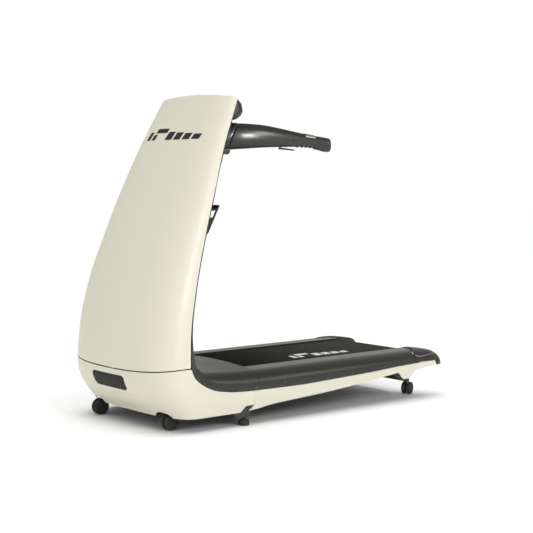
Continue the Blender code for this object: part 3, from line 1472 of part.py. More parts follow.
for piece_name, place in pivots().items():
    set_origin(bpy.data.objects[piece_name], place + Vector((0.0, ORIGIN_SHIFT, 0.0)))
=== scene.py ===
"""Treadmill: finished surfaces, materials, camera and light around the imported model."""

import json
import math

import bpy
import bmesh
from mathutils import Matrix, Vector


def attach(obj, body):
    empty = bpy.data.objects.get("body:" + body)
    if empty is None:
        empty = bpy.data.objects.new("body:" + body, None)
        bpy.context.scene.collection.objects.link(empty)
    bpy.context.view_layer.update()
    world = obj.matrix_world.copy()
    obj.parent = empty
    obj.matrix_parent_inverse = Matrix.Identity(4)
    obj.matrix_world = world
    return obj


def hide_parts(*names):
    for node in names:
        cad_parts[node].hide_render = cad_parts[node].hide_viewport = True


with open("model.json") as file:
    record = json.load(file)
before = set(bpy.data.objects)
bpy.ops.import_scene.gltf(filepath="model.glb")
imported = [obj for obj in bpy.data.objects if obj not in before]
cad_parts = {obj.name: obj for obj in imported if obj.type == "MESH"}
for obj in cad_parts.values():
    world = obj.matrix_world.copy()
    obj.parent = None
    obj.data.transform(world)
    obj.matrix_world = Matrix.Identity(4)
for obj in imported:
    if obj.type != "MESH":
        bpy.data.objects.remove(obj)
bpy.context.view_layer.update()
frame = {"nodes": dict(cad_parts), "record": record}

# ---- sizes shared with the CAD source, in metres
ORIGIN_SHIFT = -0.0187
FIT_GAP = 0.0004
SEAM = 0.001
SHELL_STATIONS = (
    (0.24, 0.393, -0.669, 0.167), (0.3, 0.393, -0.669, 0.163), (0.4, 0.391, -0.666, 0.154),
    (0.6, 0.382, -0.633, 0.137), (0.8, 0.362, -0.575, 0.118), (1.0, 0.34, -0.506, 0.1),
    (1.2, 0.308, -0.429, 0.084), (1.38, 0.28, -0.345, 0.07), (1.45, 0.268, -0.312, 0.064),
)
SHELL_SIDE_POWER = 2.6
SHELL_NOSE_POWER = 2.75
SHELL_WALL = 0.004
SHELL_TOP = 1.44
SHELL_TOP_DROP = 0.016
SHELL_CORNER = 0.014
SEAM_HEIGHT = 0.278
SEAM_STATION = -0.667
SEAM_RUN = 0.167
SEAM_DIP = 0.02
SEAM_GAP = 0.0045
BOWL_STATIONS = (
    (0.055, -0.7205, -0.6, 0.377), (0.07, -0.729, -0.607, 0.38), (0.1, -0.757, -0.622, 0.386),
    (0.14, -0.791, -0.643, 0.3895), (0.18, -0.818, -0.66, 0.3912), (0.22, -0.833, -0.668, 0.3925),
    (0.29, -0.837, -0.669, 0.393),
)
BOWL_FOOT = 0.06
PANEL_SPLIT = -0.325
NOTCH_HEIGHT = 0.0875
NOTCH_FRONT = -0.408
NOTCH_SLOPE = 0.033
COVER_LINE = (
    (-0.6655, 0.42), (-0.667, 0.34), (-0.665, 0.285), (-0.653, 0.248), (-0.633, 0.223), (-0.595, 0.197),
    (-0.543, 0.174), (-0.49, 0.163), (-0.436, 0.156), (-0.354, 0.152), (-0.214, 0.15), (-0.069, 0.149),
    (0.08, 0.153), (0.235, 0.158), (0.395, 0.164), (0.56, 0.173), (0.79, 0.18),
)
SKIRT_EDGE = (
    (-0.335, 0.062), (-0.214, 0.079), (-0.069, 0.088), (0.081, 0.097), (0.235, 0.109), (0.396, 0.125),
    (0.51, 0.137), (0.55, 0.141), (0.578, 0.116), (0.595, 0.106), (0.622, 0.106), (0.646, 0.119),
    (0.668, 0.142), (0.733, 0.15), (0.79, 0.1565), (0.806, 0.1645),
)
HOOD_PROFILE = (
    (-0.28, 0.2455, 0.3085), (-0.335, 0.2455, 0.3085), (-0.405, 0.2465, 0.309), (-0.47, 0.2485, 0.31),
    (-0.53, 0.253, 0.312), (-0.575, 0.264, 0.318), (-0.605, 0.283, 0.328), (-0.625, 0.308, 0.34),
    (-0.637, 0.34, 0.352), (-0.644, 0.38, 0.362), (-0.648, 0.42, 0.367),
)
HOOD_FEET = (
    (-0.325, 0.1515), (-0.37, 0.1525), (-0.436, 0.156), (-0.49, 0.163), (-0.543, 0.174), (-0.595, 0.197),
    (-0.633, 0.223), (-0.653, 0.248), (-0.665, 0.285), (-0.667, 0.34), (-0.6655, 0.42),
)
HOOD_WALL = 0.003
HOOD_CROWN = 0.016
HOOD_SIDE = 0.3925
COVER_STAND = (
    (0.42, 0.0175), (0.46, 0.0135), (0.53, 0.011), (0.65, 0.0095), (0.95, 0.009), (1.03, 0.0075),
    (1.065, 0.004), (1.11, 0.0075), (1.17, 0.012), (1.31, 0.013),
)
COVER_TOP = 1.3165
BELT_HALF = 0.23
BELT_TOP = 0.2235
BELT_THICK = 0.002
FRONT_ROLLER_Y = -0.42
FRONT_ROLLER_R = 0.026
REAR_ROLLER_Y = 0.735
REAR_ROLLER_R = 0.024
RAIL_IN = 0.235
RAIL_OUT = 0.308
CAP_FRONT = 0.73
CAP_RAKE = 0.0655
FRONT_CASTOR = (0.25, -0.696)
FRONT_WHEEL_R = 0.036
FRONT_TRAIL = 0.0195
REAR_CASTOR = (0.258, 0.74)
REAR_WHEEL_R = 0.03
REAR_TRAIL = 0.013
REAR_TURN = 23.0
CASTOR_CLEARANCE = 0.06
ARCH_HIGH = 0.079
REAR_WHEEL_HALF = 0.022
FOOT_X = 0.36
FOOT_Y = -0.365
FOOT_R = 0.025
ARM_STATIONS = (
    (0.168, -0.392, 1.252, 0.059, 0.04), (0.205, -0.332, 1.252, 0.059, 0.042),
    (0.245, -0.277, 1.253, 0.056, 0.04), (0.285, -0.207, 1.253, 0.05, 0.036),
    (0.318, -0.127, 1.248, 0.041, 0.031), (0.345, -0.042, 1.24, 0.032, 0.027),
    (0.362, 0.028, 1.232, 0.028, 0.025), (0.372, 0.083, 1.223, 0.03, 0.025),
    (0.376, 0.112, 1.22, 0.028, 0.023),
)
ARM_POWER = 2.35
GROOVE_START = 0.605
KNOB_START = 0.745
COLLAR_END = 0.165
CONSOLE_HALF = 0.256
CONSOLE_PROFILE = (
    (1.3185, -0.348), (1.327, -0.306), (1.343, -0.277), (1.364, -0.265), (1.39, -0.27), (1.408, -0.287),
    (1.419, -0.309), (1.4245, -0.333),
)
CONSOLE_BACK = 0.014
FLANGE_THICK = 0.005
FLANGE_TOP = 1.405
TOP_CAP_GAP = 0.0016
CONSOLE_KEYS = {"start_button": (0.172, 1.392), "stop_button": (-0.172, 1.392), "safety_key": (0.0, 1.34)}
BUTTON_R = 0.012
KEY_R = 0.013
GRILLE_HALF = 0.128
GRILLE_LOW = 0.166
GRILLE_HIGH = 0.232
GRILLE_CORNER = 0.02
RIM_STAND = 0.0024
CAP_STATIONS = (
    (0.73, 0.235, 0.3925, 0.236, 0.1795), (0.745, 0.2355, 0.3925, 0.236, 0.1795),
    (0.77, 0.2335, 0.3922, 0.236, 0.1795), (0.795, 0.23, 0.3915, 0.2362, 0.1797),
    (0.808, 0.2282, 0.3905, 0.2365, 0.174), (0.817, 0.2268, 0.3895, 0.237, 0.156),
    (0.835, 0.223, 0.386, 0.238, 0.155), (0.852, 0.2165, 0.38, 0.24, 0.155),
    (0.864, 0.206, 0.372, 0.243, 0.156), (0.871, 0.189, 0.363, 0.248, 0.157),
    (0.8735, 0.166, 0.354, 0.253, 0.159),
)
TRIM_LINE = (
    (0.7318, 0.22), (0.735, 0.213), (0.742, 0.2078), (0.755, 0.2072), (0.772, 0.2088), (0.797, 0.2108),
    (0.825, 0.2105), (0.85, 0.2065),
)
VENT_REACH = (-0.9, -0.745)
INLET_HOLE = ((-0.42, -0.539), (-0.36, -0.539), (-0.36, -0.455), (-0.42, -0.455))
COVER_MARGIN = 0.022
CONSOLE_FOOT, CONSOLE_RISE = 1.3185, 0.1045
WHEEL_FACE = (
    (0.0, 0.0012), (0.13, 0.0012), (0.16, 0.0022), (0.24, 0.0022), (0.28, 0.001), (0.52, 0.001), (0.58, 0.003),
    (0.66, 0.003), (0.7, 0.0004),
)
PAD_RIM = (
    (0.0025, 0.0), (0.0006, 0.0007), (0.0, 0.0022), (0.0, 0.0098), (0.0006, 0.0106), (0.002, 0.0112),
    (0.0022, 0.0118), (0.0012, 0.0126), (0.0009, 0.0134), (0.0009, 0.02), (0.0016, 0.0214), (0.003, 0.0221),
)
PAD_NUT = ((0.0125, 0.0226), (0.0112, 0.0229), (0.0105, 0.0236), (0.0105, 0.0282), (0.01, 0.0287), (0.0052, 0.0288))
BUTTON_EDGE = ((0.0, 0.0), (0.0, 0.004), (0.0004, 0.0048), (0.0014, 0.0054), (0.004, 0.0052), (0.007, 0.0049))
KEY_EDGE = ((0.0, 0.0), (0.0, 0.0066), (0.0005, 0.0078), (0.0018, 0.009), (0.004, 0.01), (0.0075, 0.0105))
LEAN = 0.4
PADDLE_START = 0.495
PADDLE_END = 0.592


# ---- materials
class Tree:
    """Short ways to add nodes to a shader tree and to join them."""

    def __init__(self, tree):
        self.tree = tree

    def node(self, kind, sockets=(), **settings):
        """A new node. Each socket takes a value, or the output of another node."""
        made = self.tree.nodes.new(kind)
        for key, value in settings.items():
            setattr(made, key, value)
        for key, value in dict(sockets).items():
            if isinstance(value, bpy.types.NodeSocket):
                self.tree.links.new(value, made.inputs[key])
            else:
                made.inputs[key].default_value = value
        return made

    def ranged(self, value, low, high, first, last):
        sockets = {"Value": value, "From Min": low, "From Max": high, "To Min": first, "To Max": last}
        return self.node("ShaderNodeMapRange", sockets).outputs[0]


class Look(Tree):
    """Principled material built up in steps. Everything is read in metres on the object itself."""

    def __init__(self, name, colour, roughness, metallic=0.0, **sockets):
        self.material = bpy.data.materials.new(name)
        self.material.use_nodes = True
        super().__init__(self.material.node_tree)
        self.shader = self.tree.nodes["Principled BSDF"]
        for key, value in {"Metallic": metallic, **sockets}.items():
            self.shader.inputs[key.replace("_", " ")].default_value = value
        self.place = self.node("ShaderNodeTexCoord").outputs["Object"]
        self.colour = self.fixed("ShaderNodeRGB", (*colour, 1.0))
        self.rough = self.fixed("ShaderNodeValue", roughness)
        self.height = None

    def fixed(self, kind, value):
        output = self.node(kind).outputs[0]
        output.default_value = value
        return output

    def mapped(self, **sockets):
        return self.node("ShaderNodeMapping", {"Vector": self.place, **sockets}).outputs[0]

    def noise(self, scale, detail=3.0, stretch=None, rough=0.5):
        place = self.mapped(Scale=stretch) if stretch else self.place
        sockets = {"Vector": place, "Scale": scale, "Detail": detail, "Roughness": rough}
        return self.node("ShaderNodeTexNoise", sockets).outputs["Fac"]

    def waves(self, pitch, turn=0.0, axis="X", warp=0.0):
        place = self.mapped(Rotation=(0.0, 0.0, math.radians(turn)))
        sockets = {"Vector": place, "Scale": math.pi / (10 * pitch), "Distortion": warp}
        return self.node("ShaderNodeTexWave", sockets, bands_direction=axis).outputs["Fac"]

    def cells(self, scale, feature="F1"):
        sockets = {"Vector": self.mapped(), "Scale": scale}
        return self.node("ShaderNodeTexVoronoi", sockets, feature=feature).outputs["Distance"]

    def math(self, operation, first, second):
        return self.node("ShaderNodeMath", {0: first, 1: second}, operation=operation).outputs[0]

    def tint(self, factor, low, high, amount, colour, start=0.0):
        """Mix the colour towards another one, where the factor runs from low to high."""
        factor = self.ranged(factor, low, high, start, amount)
        sockets = {0: factor, 6: self.colour, 7: (*colour, 1.0)}
        self.colour = self.node("ShaderNodeMix", sockets, data_type="RGBA", blend_type="MIX").outputs[2]
        return self

    def soil(self, factor, amount):
        """Add to the roughness."""
        self.rough = self.math("ADD", self.rough, self.math("MULTIPLY", factor, amount))
        return self

    def emboss(self, value, distance, strength=1.0):
        sockets = {"Distance": distance, "Strength": strength, "Height": value}
        if self.height is not None:
            sockets["Normal"] = self.height
        self.height = self.node("ShaderNodeBump", sockets).outputs[0]
        return self

    def done(self):
        for key, output in (("Base Color", self.colour), ("Roughness", self.rough), ("Normal", self.height)):
            if output is not None:
                self.tree.links.new(output, self.shader.inputs[key])
        return self.material


def scaled(colour, factor, lift=0.0):
    return [min(1.0, c * factor + lift) for c in colour]


def cream_plastic():
    look = Look("cream_plastic", (0.755, 0.738, 0.6), 0.42, Coat_Weight=0.06, Coat_Roughness=0.3)
    fine = look.noise(55.0, 4.0)
    look.tint(look.noise(2.4, 2.0), 0.4, 0.7, 0.22, (0.728, 0.71, 0.57))
    look.tint(fine, 0.6, 0.8, 0.1, (0.79, 0.776, 0.655)).soil(look.noise(9.0, 4.0), 0.09).soil(fine, 0.05)
    return look.emboss(look.noise(1300.0, 2.0), 0.00004, 0.35).emboss(look.noise(6.0, 1.0), 0.001, 0.12).done()


def black_plastic(name, colour, roughness, grain, depth, level):
    look = Look(name, colour, roughness, Specular_IOR_Level=level)
    dust = look.noise(38.0, 5.0, rough=0.65)
    wipe = look.noise(5.0, 3.0, stretch=(1.0, 0.35, 1.0))
    look.tint(dust, 0.52, 0.8, 0.3, scaled(colour, 1.9, 0.012)).tint(wipe, 0.45, 0.75, 0.22, scaled(colour, 0.7))
    look.soil(wipe, 0.14).soil(dust, 0.06).emboss(look.cells(grain, "SMOOTH_F1"), depth, 0.6)
    return look.emboss(look.noise(grain * 2.3, 2.0), depth * 0.5, 0.4).done()


def belt_fabric():
    look = Look("belt_fabric", (0.027, 0.027, 0.022), 0.72, Specular_IOR_Level=0.25)
    grid = look.math("MAXIMUM", look.waves(0.0032, 45.0), look.waves(0.0032, -45.0))
    tracks = look.noise(9.0, 4.0, stretch=(6.0, 0.5, 1.0))
    look.tint(grid, 0.55, 1.0, 0.35, (0.04, 0.04, 0.034)).tint(tracks, 0.5, 0.78, 0.35, (0.042, 0.042, 0.036))
    look.tint(look.noise(3.2, 3.0, stretch=(1.6, 0.8, 1.0)), 0.46, 0.72, 0.25, (0.013, 0.013, 0.011))
    return look.soil(tracks, 0.14).emboss(grid, 0.00035, 0.8).emboss(look.noise(900.0, 2.0), 0.0001, 0.5).done()


def ribbed_strip():
    look = Look("rail_strip", (0.195, 0.193, 0.16), 0.46, Specular_IOR_Level=0.35)
    ribs = look.waves(0.006)
    marks = look.noise(40.0, 4.0, stretch=(3.0, 0.4, 1.0))
    # The rib grooves are painted darker than the ribs, following the bump depth: painted shade in the recesses.
    look.tint(ribs, 0.0, 0.35, 0.0, (0.07, 0.069, 0.057), start=0.45)
    look.tint(marks, 0.55, 0.8, 0.35, (0.24, 0.237, 0.205)).soil(marks, 0.2)
    return look.emboss(ribs, 0.0006, 0.55).emboss(look.noise(1400.0, 2.0), 0.00005, 0.4).done()


def rubber():
    look = Look("rubber", (0.019, 0.019, 0.017), 0.66)
    dust = look.noise(90.0, 5.0, rough=0.7)
    look.tint(dust, 0.5, 0.78, 0.45, (0.07, 0.068, 0.06)).soil(dust, 0.16)
    return look.emboss(look.noise(700.0, 3.0), 0.00012, 0.6).done()


def painted_steel():
    look = Look("painted_steel", (0.026, 0.026, 0.025), 0.42)
    dust = look.noise(24.0, 4.0)
    look.tint(dust, 0.5, 0.78, 0.3, (0.07, 0.069, 0.062))
    look.tint(look.cells(150.0), 0.045, 0.03, 0.35, (0.2, 0.19, 0.17)).soil(dust, 0.2)
    return look.emboss(look.noise(420.0, 2.0), 0.00015, 0.5).done()


def brushed(name, colour, roughness):
    look = Look(name, colour, roughness, 1.0, Anisotropic=0.35)
    lines = look.noise(26.0, 4.0, stretch=(1.0, 90.0, 90.0), rough=0.7)
    look.tint(lines, 0.4, 0.75, 0.3, scaled(colour, 0.72)).soil(lines, 0.16).soil(look.noise(30.0, 3.0), 0.1)
    return look.emboss(lines, 0.00006, 0.4).done()


def cast_metal():
    look = Look("cast_metal", (0.52, 0.52, 0.51), 0.4, 1.0)
    sand = look.noise(600.0, 4.0, rough=0.7)
    look.tint(look.noise(20.0, 3.0), 0.45, 0.75, 0.35, (0.36, 0.36, 0.35))
    return look.soil(sand, 0.2).emboss(sand, 0.00025, 0.7).done()


def chrome():
    look = Look("chrome_trim", (0.44, 0.44, 0.42), 0.24, 1.0)
    haze = look.noise(70.0, 4.0)
    look.tint(haze, 0.5, 0.8, 0.25, (0.34, 0.34, 0.32)).soil(haze, 0.16)
    return look.emboss(look.noise(240.0, 2.0), 0.00003, 0.4).done()


def fibreboard():
    look = Look("fibreboard", (0.215, 0.14, 0.08), 0.58)
    fleck = look.noise(380.0, 5.0, rough=0.75)
    look.tint(fleck, 0.45, 0.75, 0.6, (0.33, 0.235, 0.145))
    look.tint(look.waves(0.0021, axis="Z", warp=1.2), 0.3, 0.9, 0.25, (0.12, 0.075, 0.042))
    return look.soil(fleck, 0.18).emboss(fleck, 0.00018, 0.6).done()


def window_glass():
    look = Look("display_window", (0.008, 0.009, 0.01), 0.06, Coat_Weight=0.6, Coat_Roughness=0.03)
    smear = look.noise(14.0, 4.0, stretch=(1.0, 2.0, 1.0))
    look.tint(smear, 0.55, 0.85, 0.3, (0.022, 0.024, 0.026)).soil(look.ranged(smear, 0.45, 0.8, 0.0, 1.0), 0.14)
    return look.emboss(look.noise(160.0, 2.0), 0.00002, 0.3).done()


def printed(name, colour, roughness):
    look = Look(name, colour, roughness)
    worn = look.noise(260.0, 4.0, rough=0.7)
    look.tint(worn, 0.62, 0.82, 0.35, scaled(colour, 0.8, 0.012)).soil(worn, 0.18)
    return look.emboss(worn, 0.00003, 0.4).done()


def button_plastic(name, colour):
    look = Look(name, colour, 0.34, Coat_Weight=0.2, Coat_Roughness=0.15)
    rub = look.noise(220.0, 3.0)
    look.tint(rub, 0.5, 0.8, 0.35, scaled(colour, 1.25, 0.03)).soil(rub, 0.18)
    return look.emboss(look.noise(1500.0, 2.0), 0.00004, 0.5).done()


M = {
    "cream_shell": cream_plastic(),
    "dark_gloss": black_plastic("dark_gloss", (0.021, 0.021, 0.016), 0.15, 900.0, 0.00004, 0.5),
    "dark_matt": black_plastic("dark_matt", (0.011, 0.011, 0.0092), 0.55, 620.0, 0.00014, 0.35),
    "belt_fabric": belt_fabric(),
    "rail_strip": ribbed_strip(),
    "rubber": rubber(),
    "painted_steel": painted_steel(),
    "steel": brushed("steel", (0.56, 0.56, 0.545), 0.22),
    "aluminium": cast_metal(),
    "chrome": chrome(),
    "deck_wood": fibreboard(),
    "display_glass": window_glass(),
    "red": button_plastic("red_button", (0.56, 0.03, 0.022)),
    "green": button_plastic("green_button", (0.04, 0.27, 0.085)),
    "ink": printed("dark_print", (0.012, 0.012, 0.012), 0.55),
    "pale_ink": printed("pale_print", (0.62, 0.615, 0.56), 0.55),
}

for entry in frame["record"]["subparts"]:
    solid = frame["nodes"][entry["node"]]
    solid.data.materials.clear()
    solid.data.materials.append(M[entry["material_slot"]])


# ---- numbers, meshes and surfaces

def signed_power(value, power):
    return math.copysign(abs(value) ** power, value)


def along(table, where, column=1):
    """Smooth value of one column of a station table, whose first column rises or falls steadily."""
    rows = table if table[0][0] < table[-1][0] else table[::-1]
    where = min(max(where, rows[0][0]), rows[-1][0])
    low = max(i for i in range(len(rows) - 1) if rows[i][0] <= where)

    def chord(i):
        return (rows[i + 1][column] - rows[i][column]) / (rows[i + 1][0] - rows[i][0])

    def slope(i):
        if i <= 0 or i >= len(rows) - 1:
            return chord(low)
        before, after = chord(i - 1), chord(i)
        return 0.0 if before * after <= 0 else 2 * before * after / (before + after)

    step = rows[low + 1][0] - rows[low][0]
    part = (where - rows[low][0]) / step
    y0, y1 = rows[low][column], rows[low + 1][column]
    m0, m1 = slope(low) * step, slope(low + 1) * step
    p2, p3 = part * part, part**3
    return (2 * p3 - 3 * p2 + 1) * y0 + (p3 - 2 * p2 + part) * m0 + (3 * p2 - 2 * p3) * y1 + (p3 - p2) * m1


def stations(table, where):
    """Every column of a station table at one place, after the first."""
    return [along(table, where, column) for column in range(1, len(table[0]))]


def clamped(value):
    return max(0.0, min(1.0, value))


def spline(points, where):
    """Catmull-Rom point on a list of tuples, where runs from 0 to 1 over the whole list."""
    place = max(0.0, min(1.0, where)) * (len(points) - 1)
    i = min(int(place), len(points) - 2)
    t = place - i
    four = zip(points[max(i - 1, 0)], points[i], points[i + 1], points[min(i + 2, len(points) - 1)])
    return [
        0.5 * (2 * b + (c - a) * t + (2 * a - 5 * b + 4 * c - d) * t**2 + (3 * b - a - 3 * c + d) * t**3)
        for a, b, c, d in four
    ]


def spread(first, last, count):
    return [first + (last - first) * i / (count - 1) for i in range(count)]


def quarter(steps, first=0):
    """Angles from 0 to 90 degrees, in radians."""
    return [math.radians(90 * k / steps) for k in range(first, steps + 1)]


def oval(count, wide, tall, flat, crown):
    """(across, up) pairs round a squared-off oval. Each half size has its own power."""
    angles = [2 * math.pi * k / count for k in range(count)]
    return [(wide * signed_power(math.cos(a), flat), tall * signed_power(math.sin(a), crown)) for a in angles]


def linked(name, data):
    made = bpy.data.objects.new(name, data)
    bpy.context.scene.collection.objects.link(made)
    return made


def mesh_of(name, points, faces, slim=False):
    """A closed mesh with its faces turned outwards. Slim clears the needle faces that a turned body has on its axis."""
    work = bmesh.new()
    verts = [work.verts.new(p) for p in points]
    for face in faces:
        corners = list(dict.fromkeys(verts[i] for i in face))
        if len(corners) > 2:
            work.faces.new(corners)
    bmesh.ops.remove_doubles(work, verts=work.verts, dist=1e-6)
    if slim:
        bmesh.ops.dissolve_degenerate(work, edges=work.edges, dist=1e-7)
    bmesh.ops.recalc_face_normals(work, faces=work.faces)
    mesh = bpy.data.meshes.new(name)
    work.to_mesh(mesh)
    work.free()
    return mesh


def two_skins(name, outer, inner):
    """Closed panel between two grids of the same size."""
    rows, cols = len(outer), len(outer[0])
    points = [p for line in outer for p in line] + [p for line in inner for p in line]
    size = rows * cols

    def at(r, c, skin=0):
        return skin * size + r * cols + c

    faces = []
    for r in range(rows - 1):
        for c in range(cols - 1):
            faces.append((at(r, c), at(r, c + 1), at(r + 1, c + 1), at(r + 1, c)))
            faces.append((at(r, c, 1), at(r + 1, c, 1), at(r + 1, c + 1, 1), at(r, c + 1, 1)))
    for c in range(cols - 1):
        for r in (0, rows - 1):
            faces.append((at(r, c), at(r, c + 1), at(r, c + 1, 1), at(r, c, 1)))
    for r in range(rows - 1):
        for c in (0, cols - 1):
            faces.append((at(r, c), at(r + 1, c), at(r + 1, c, 1), at(r, c, 1)))
    return mesh_of(name, points, faces)


def wall(name, grid, thickness, towards):
    """Closed panel of even thickness, grown from its outer skin towards a point."""
    towards = Vector(towards)
    last, end = len(grid) - 1, len(grid[0]) - 1
    normals, total = [], 0.0
    for r, row in enumerate(grid):
        normals.append([])
        for c, spot in enumerate(row):
            down = grid[min(r + 1, last)][c] - grid[max(r - 1, 0)][c]
            normal = down.cross(row[min(c + 1, end)] - row[max(c - 1, 0)]).normalized()
            total += normal.dot((towards - spot).normalized())
            normals[-1].append(normal)
    step = math.copysign(thickness, total)
    return two_skins(name, grid, [[p + n * step for p, n in zip(*pair)] for pair in zip(grid, normals)])


def loft(name, rings):
    """Closed body through rings of equal length, with flat ends."""
    size, last = len(rings[0]), (len(rings) - 1) * len(rings[0])
    faces = []
    for k in range(0, last, size):
        for i in range(size):
            j = (i + 1) % size
            faces.append((k + i, k + j, k + size + j, k + size + i))
    faces += [tuple(range(size - 1, -1, -1)), tuple(range(last, last + size))]
    return mesh_of(name, [p for ring in rings for p in ring], faces)


def drawn(outline, y0, y1):
    """Body with one outline in the front view, drawn out from one station to another."""
    return loft("drawn", [[Vector((x, y, z)) for x, z in outline] for y in (y0, y1)])


def turned(profile, origin, axis, count=32):
    """Body turned about an axis. The profile lists (radius, distance along the axis) and starts and ends on it."""
    axis, origin, size = Vector(axis).normalized(), Vector(origin), len(profile)
    side = axis.orthogonal().normalized()
    if abs(axis.z) < 0.9:
        side = axis.cross(Vector((0, 0, 1))).normalized()
    up = axis.cross(side)
    points, faces = [], []
    for k in range(count):
        angle = 2 * math.pi * k / count
        arm = side * math.cos(angle) + up * math.sin(angle)
        points += [origin + arm * r + axis * h for r, h in profile]
        here, there = k * size, (k + 1) % count * size
        faces += [(here + i, here + i + 1, there + i + 1, there + i) for i in range(size - 1)]
    return mesh_of("turned", points, faces, slim=True)


def rod(origin, axis, radius, length, count=20, chamfer=0.0):
    """Plain rod that starts at its origin."""
    k = chamfer
    profile = [(0.0, 0.0), (radius - k, 0.0), (radius, k), (radius, length - k), (radius - k, length), (0.0, length)]
    if k == 0.0:
        profile = [(0.0, 0.0), (radius, 0.0), (radius, length), (0.0, length)]
    return turned(profile, origin, axis, count)


def shell_at(z):
    """Half width, rear edge and depth of the shell."""
    return stations(SHELL_STATIONS, z)


def shell_point(angle, z):
    width, edge, depth = shell_at(z)
    x = width * signed_power(math.sin(angle), 2 / SHELL_SIDE_POWER)
    y = edge - depth * abs(math.cos(angle)) ** (2 / SHELL_NOSE_POWER)
    return Vector((x, y, z))


def seam_z(y):
    """Height of the seam between shell and bowl. It dips towards the nose."""
    return SEAM_HEIGHT - SEAM_DIP * (max(0.0, SEAM_STATION - y) / SEAM_RUN) ** 2


def shell_top_z(angle):
    width, edge, _ = shell_at(SHELL_TOP - SHELL_TOP_DROP)
    point = shell_point(angle, SHELL_TOP - SHELL_TOP_DROP)
    crown = SHELL_TOP - SHELL_TOP_DROP * (abs(point.x) / width) ** 2.2
    rim = max(0.0, edge - point.y)
    if rim < SHELL_CORNER:
        crown -= SHELL_CORNER - math.sqrt(SHELL_CORNER**2 - (SHELL_CORNER - rim) ** 2)
    return crown


def bowl_at(z):
    """Front, side edge and half width of the bowl."""
    return stations(BOWL_STATIONS, z)


def bowl_power(z):
    return 2.6 + 0.4 * clamped((0.2 - z) / 0.14)


def bowl_front_point(angle, z):
    front, side, width = bowl_at(z)
    power = bowl_power(z)
    x = width * signed_power(math.sin(angle), 2 / power)
    y = side - (side - front) * abs(math.cos(angle)) ** (2 / (power + 0.12))
    return Vector((x, y, z))


def bowl_side_point(top_y, top_z, z):
    """Point on the flat side of the bowl, under a point of its top edge."""
    _, side, width = bowl_at(z)
    share = (top_y - PANEL_SPLIT) / (bowl_at(top_z)[1] - PANEL_SPLIT)
    return Vector((width, PANEL_SPLIT + (side - PANEL_SPLIT) * share, z))


def bowl_edge_z(y):
    """Lower edge of the side of the bowl, with the notch for the levelling leg."""
    return BOWL_FOOT + (NOTCH_HEIGHT - BOWL_FOOT) * clamped((y - NOTCH_FRONT) / NOTCH_SLOPE)


def wheel_arch(side, count):
    """Domed space round the swivelling front castor."""
    x, y = FRONT_CASTOR
    low, knee, high = -0.01, 0.036, ARCH_HIGH + 0.01
    dome = [(0.0, low), (CASTOR_CLEARANCE, low), (CASTOR_CLEARANCE, knee)]
    for a in map(math.radians, (20, 38, 55, 72)):
        dome.append((CASTOR_CLEARANCE * math.cos(a) ** 0.8, knee + (high - knee) * math.sin(a)))
    return turned(dome + [(0.0, high)], (x * side, y, 0.0), (0, 0, 1), count)


def rounded_outline(half, low, high, corner, count=3):
    points = []
    for x, z, start in ((half, high, 0), (-half, high, 90), (-half, low, 180), (half, low, 270)):
        cx = x - math.copysign(corner, x)
        cz = z - corner if z == high else z + corner
        for k in range(count + 1):
            a = math.radians(start + 90 * k / count)
            points.append((cx + corner * math.cos(a), cz + corner * math.sin(a)))
    return points


def bowl_front_y(x, z):
    """Station of the bowl's outer skin at a width and a height."""
    front, side, width = bowl_at(z)
    power = bowl_power(z)
    share = min(abs(x) / width, 1.0) ** power
    return side - (side - front) * (1 - share) ** (1 / (power + 0.12))


def side_x(z):
    return bowl_at(z)[2]


def shoulder(top, foot, steps, power=2.25):
    """Quarter curve from the flat top over the side down to the foot point, without its first point."""
    points = []
    for a in quarter(steps, 1):
        down = 1 - math.cos(a) ** (2 / power)
        x = top.x + (foot.x - top.x) * math.sin(a) ** (2 / power)
        points.append(Vector((x, top.y + (foot.y - top.y) * down, top.z + (foot.z - top.z) * down)))
    return points


def mirrored_row(half):
    """Full row from its half at +X, whose first point lies on the middle."""
    return [Vector((-p.x, p.y, p.z)) for p in half[:0:-1]] + half


def cover_line_point(part, aside):
    """Point of the cover line, moved to one side of it in the side view. Part runs from the hood's rear edge up."""
    here = Vector(spline(HOOD_FEET, part))
    ahead = Vector(spline(HOOD_FEET, min(1.0, part + 0.01))) - Vector(spline(HOOD_FEET, max(0.0, part - 0.01)))
    ahead.normalize()
    return here + Vector((-ahead.y, ahead.x)) * -aside


def hood_row(part, flats, steps):
    y, z, half = spline(HOOD_PROFILE, part)
    foot_y, foot_z = cover_line_point(part, SEAM)
    drop = HOOD_CROWN * max(0.0, 1.0 - part / 0.75)
    line = [Vector((x, y, z - drop * (x / half) ** 2)) for x in spread(0.0, half, flats)]
    foot = Vector((HOOD_SIDE, foot_y, foot_z))
    if foot_z > seam_z(SEAM_STATION) - 0.012:
        rim = rim_point(max(foot_z, RIM_LOW))
        foot = Vector((rim.x, max(rim.y + RIM_STAND, foot_y), foot_z))
    return mirrored_row(line + shoulder(line[-1], foot, steps))


def cover_y(x, z):
    """Station of the outer skin of the inner cover of the upright."""
    width, edge, _ = shell_at(z)
    return edge + along(COVER_STAND, z) + 0.003 * (1 - min(1.0, abs(x) / (width - COVER_MARGIN)) ** 2)


def cap_seam_y(x):
    """Station of the seam between the side cover and the rear cap. It runs forward down the side."""
    return CAP_FRONT - CAP_RAKE * clamped((x - RAIL_OUT) / (HOOD_SIDE - RAIL_OUT)) ** 0.6


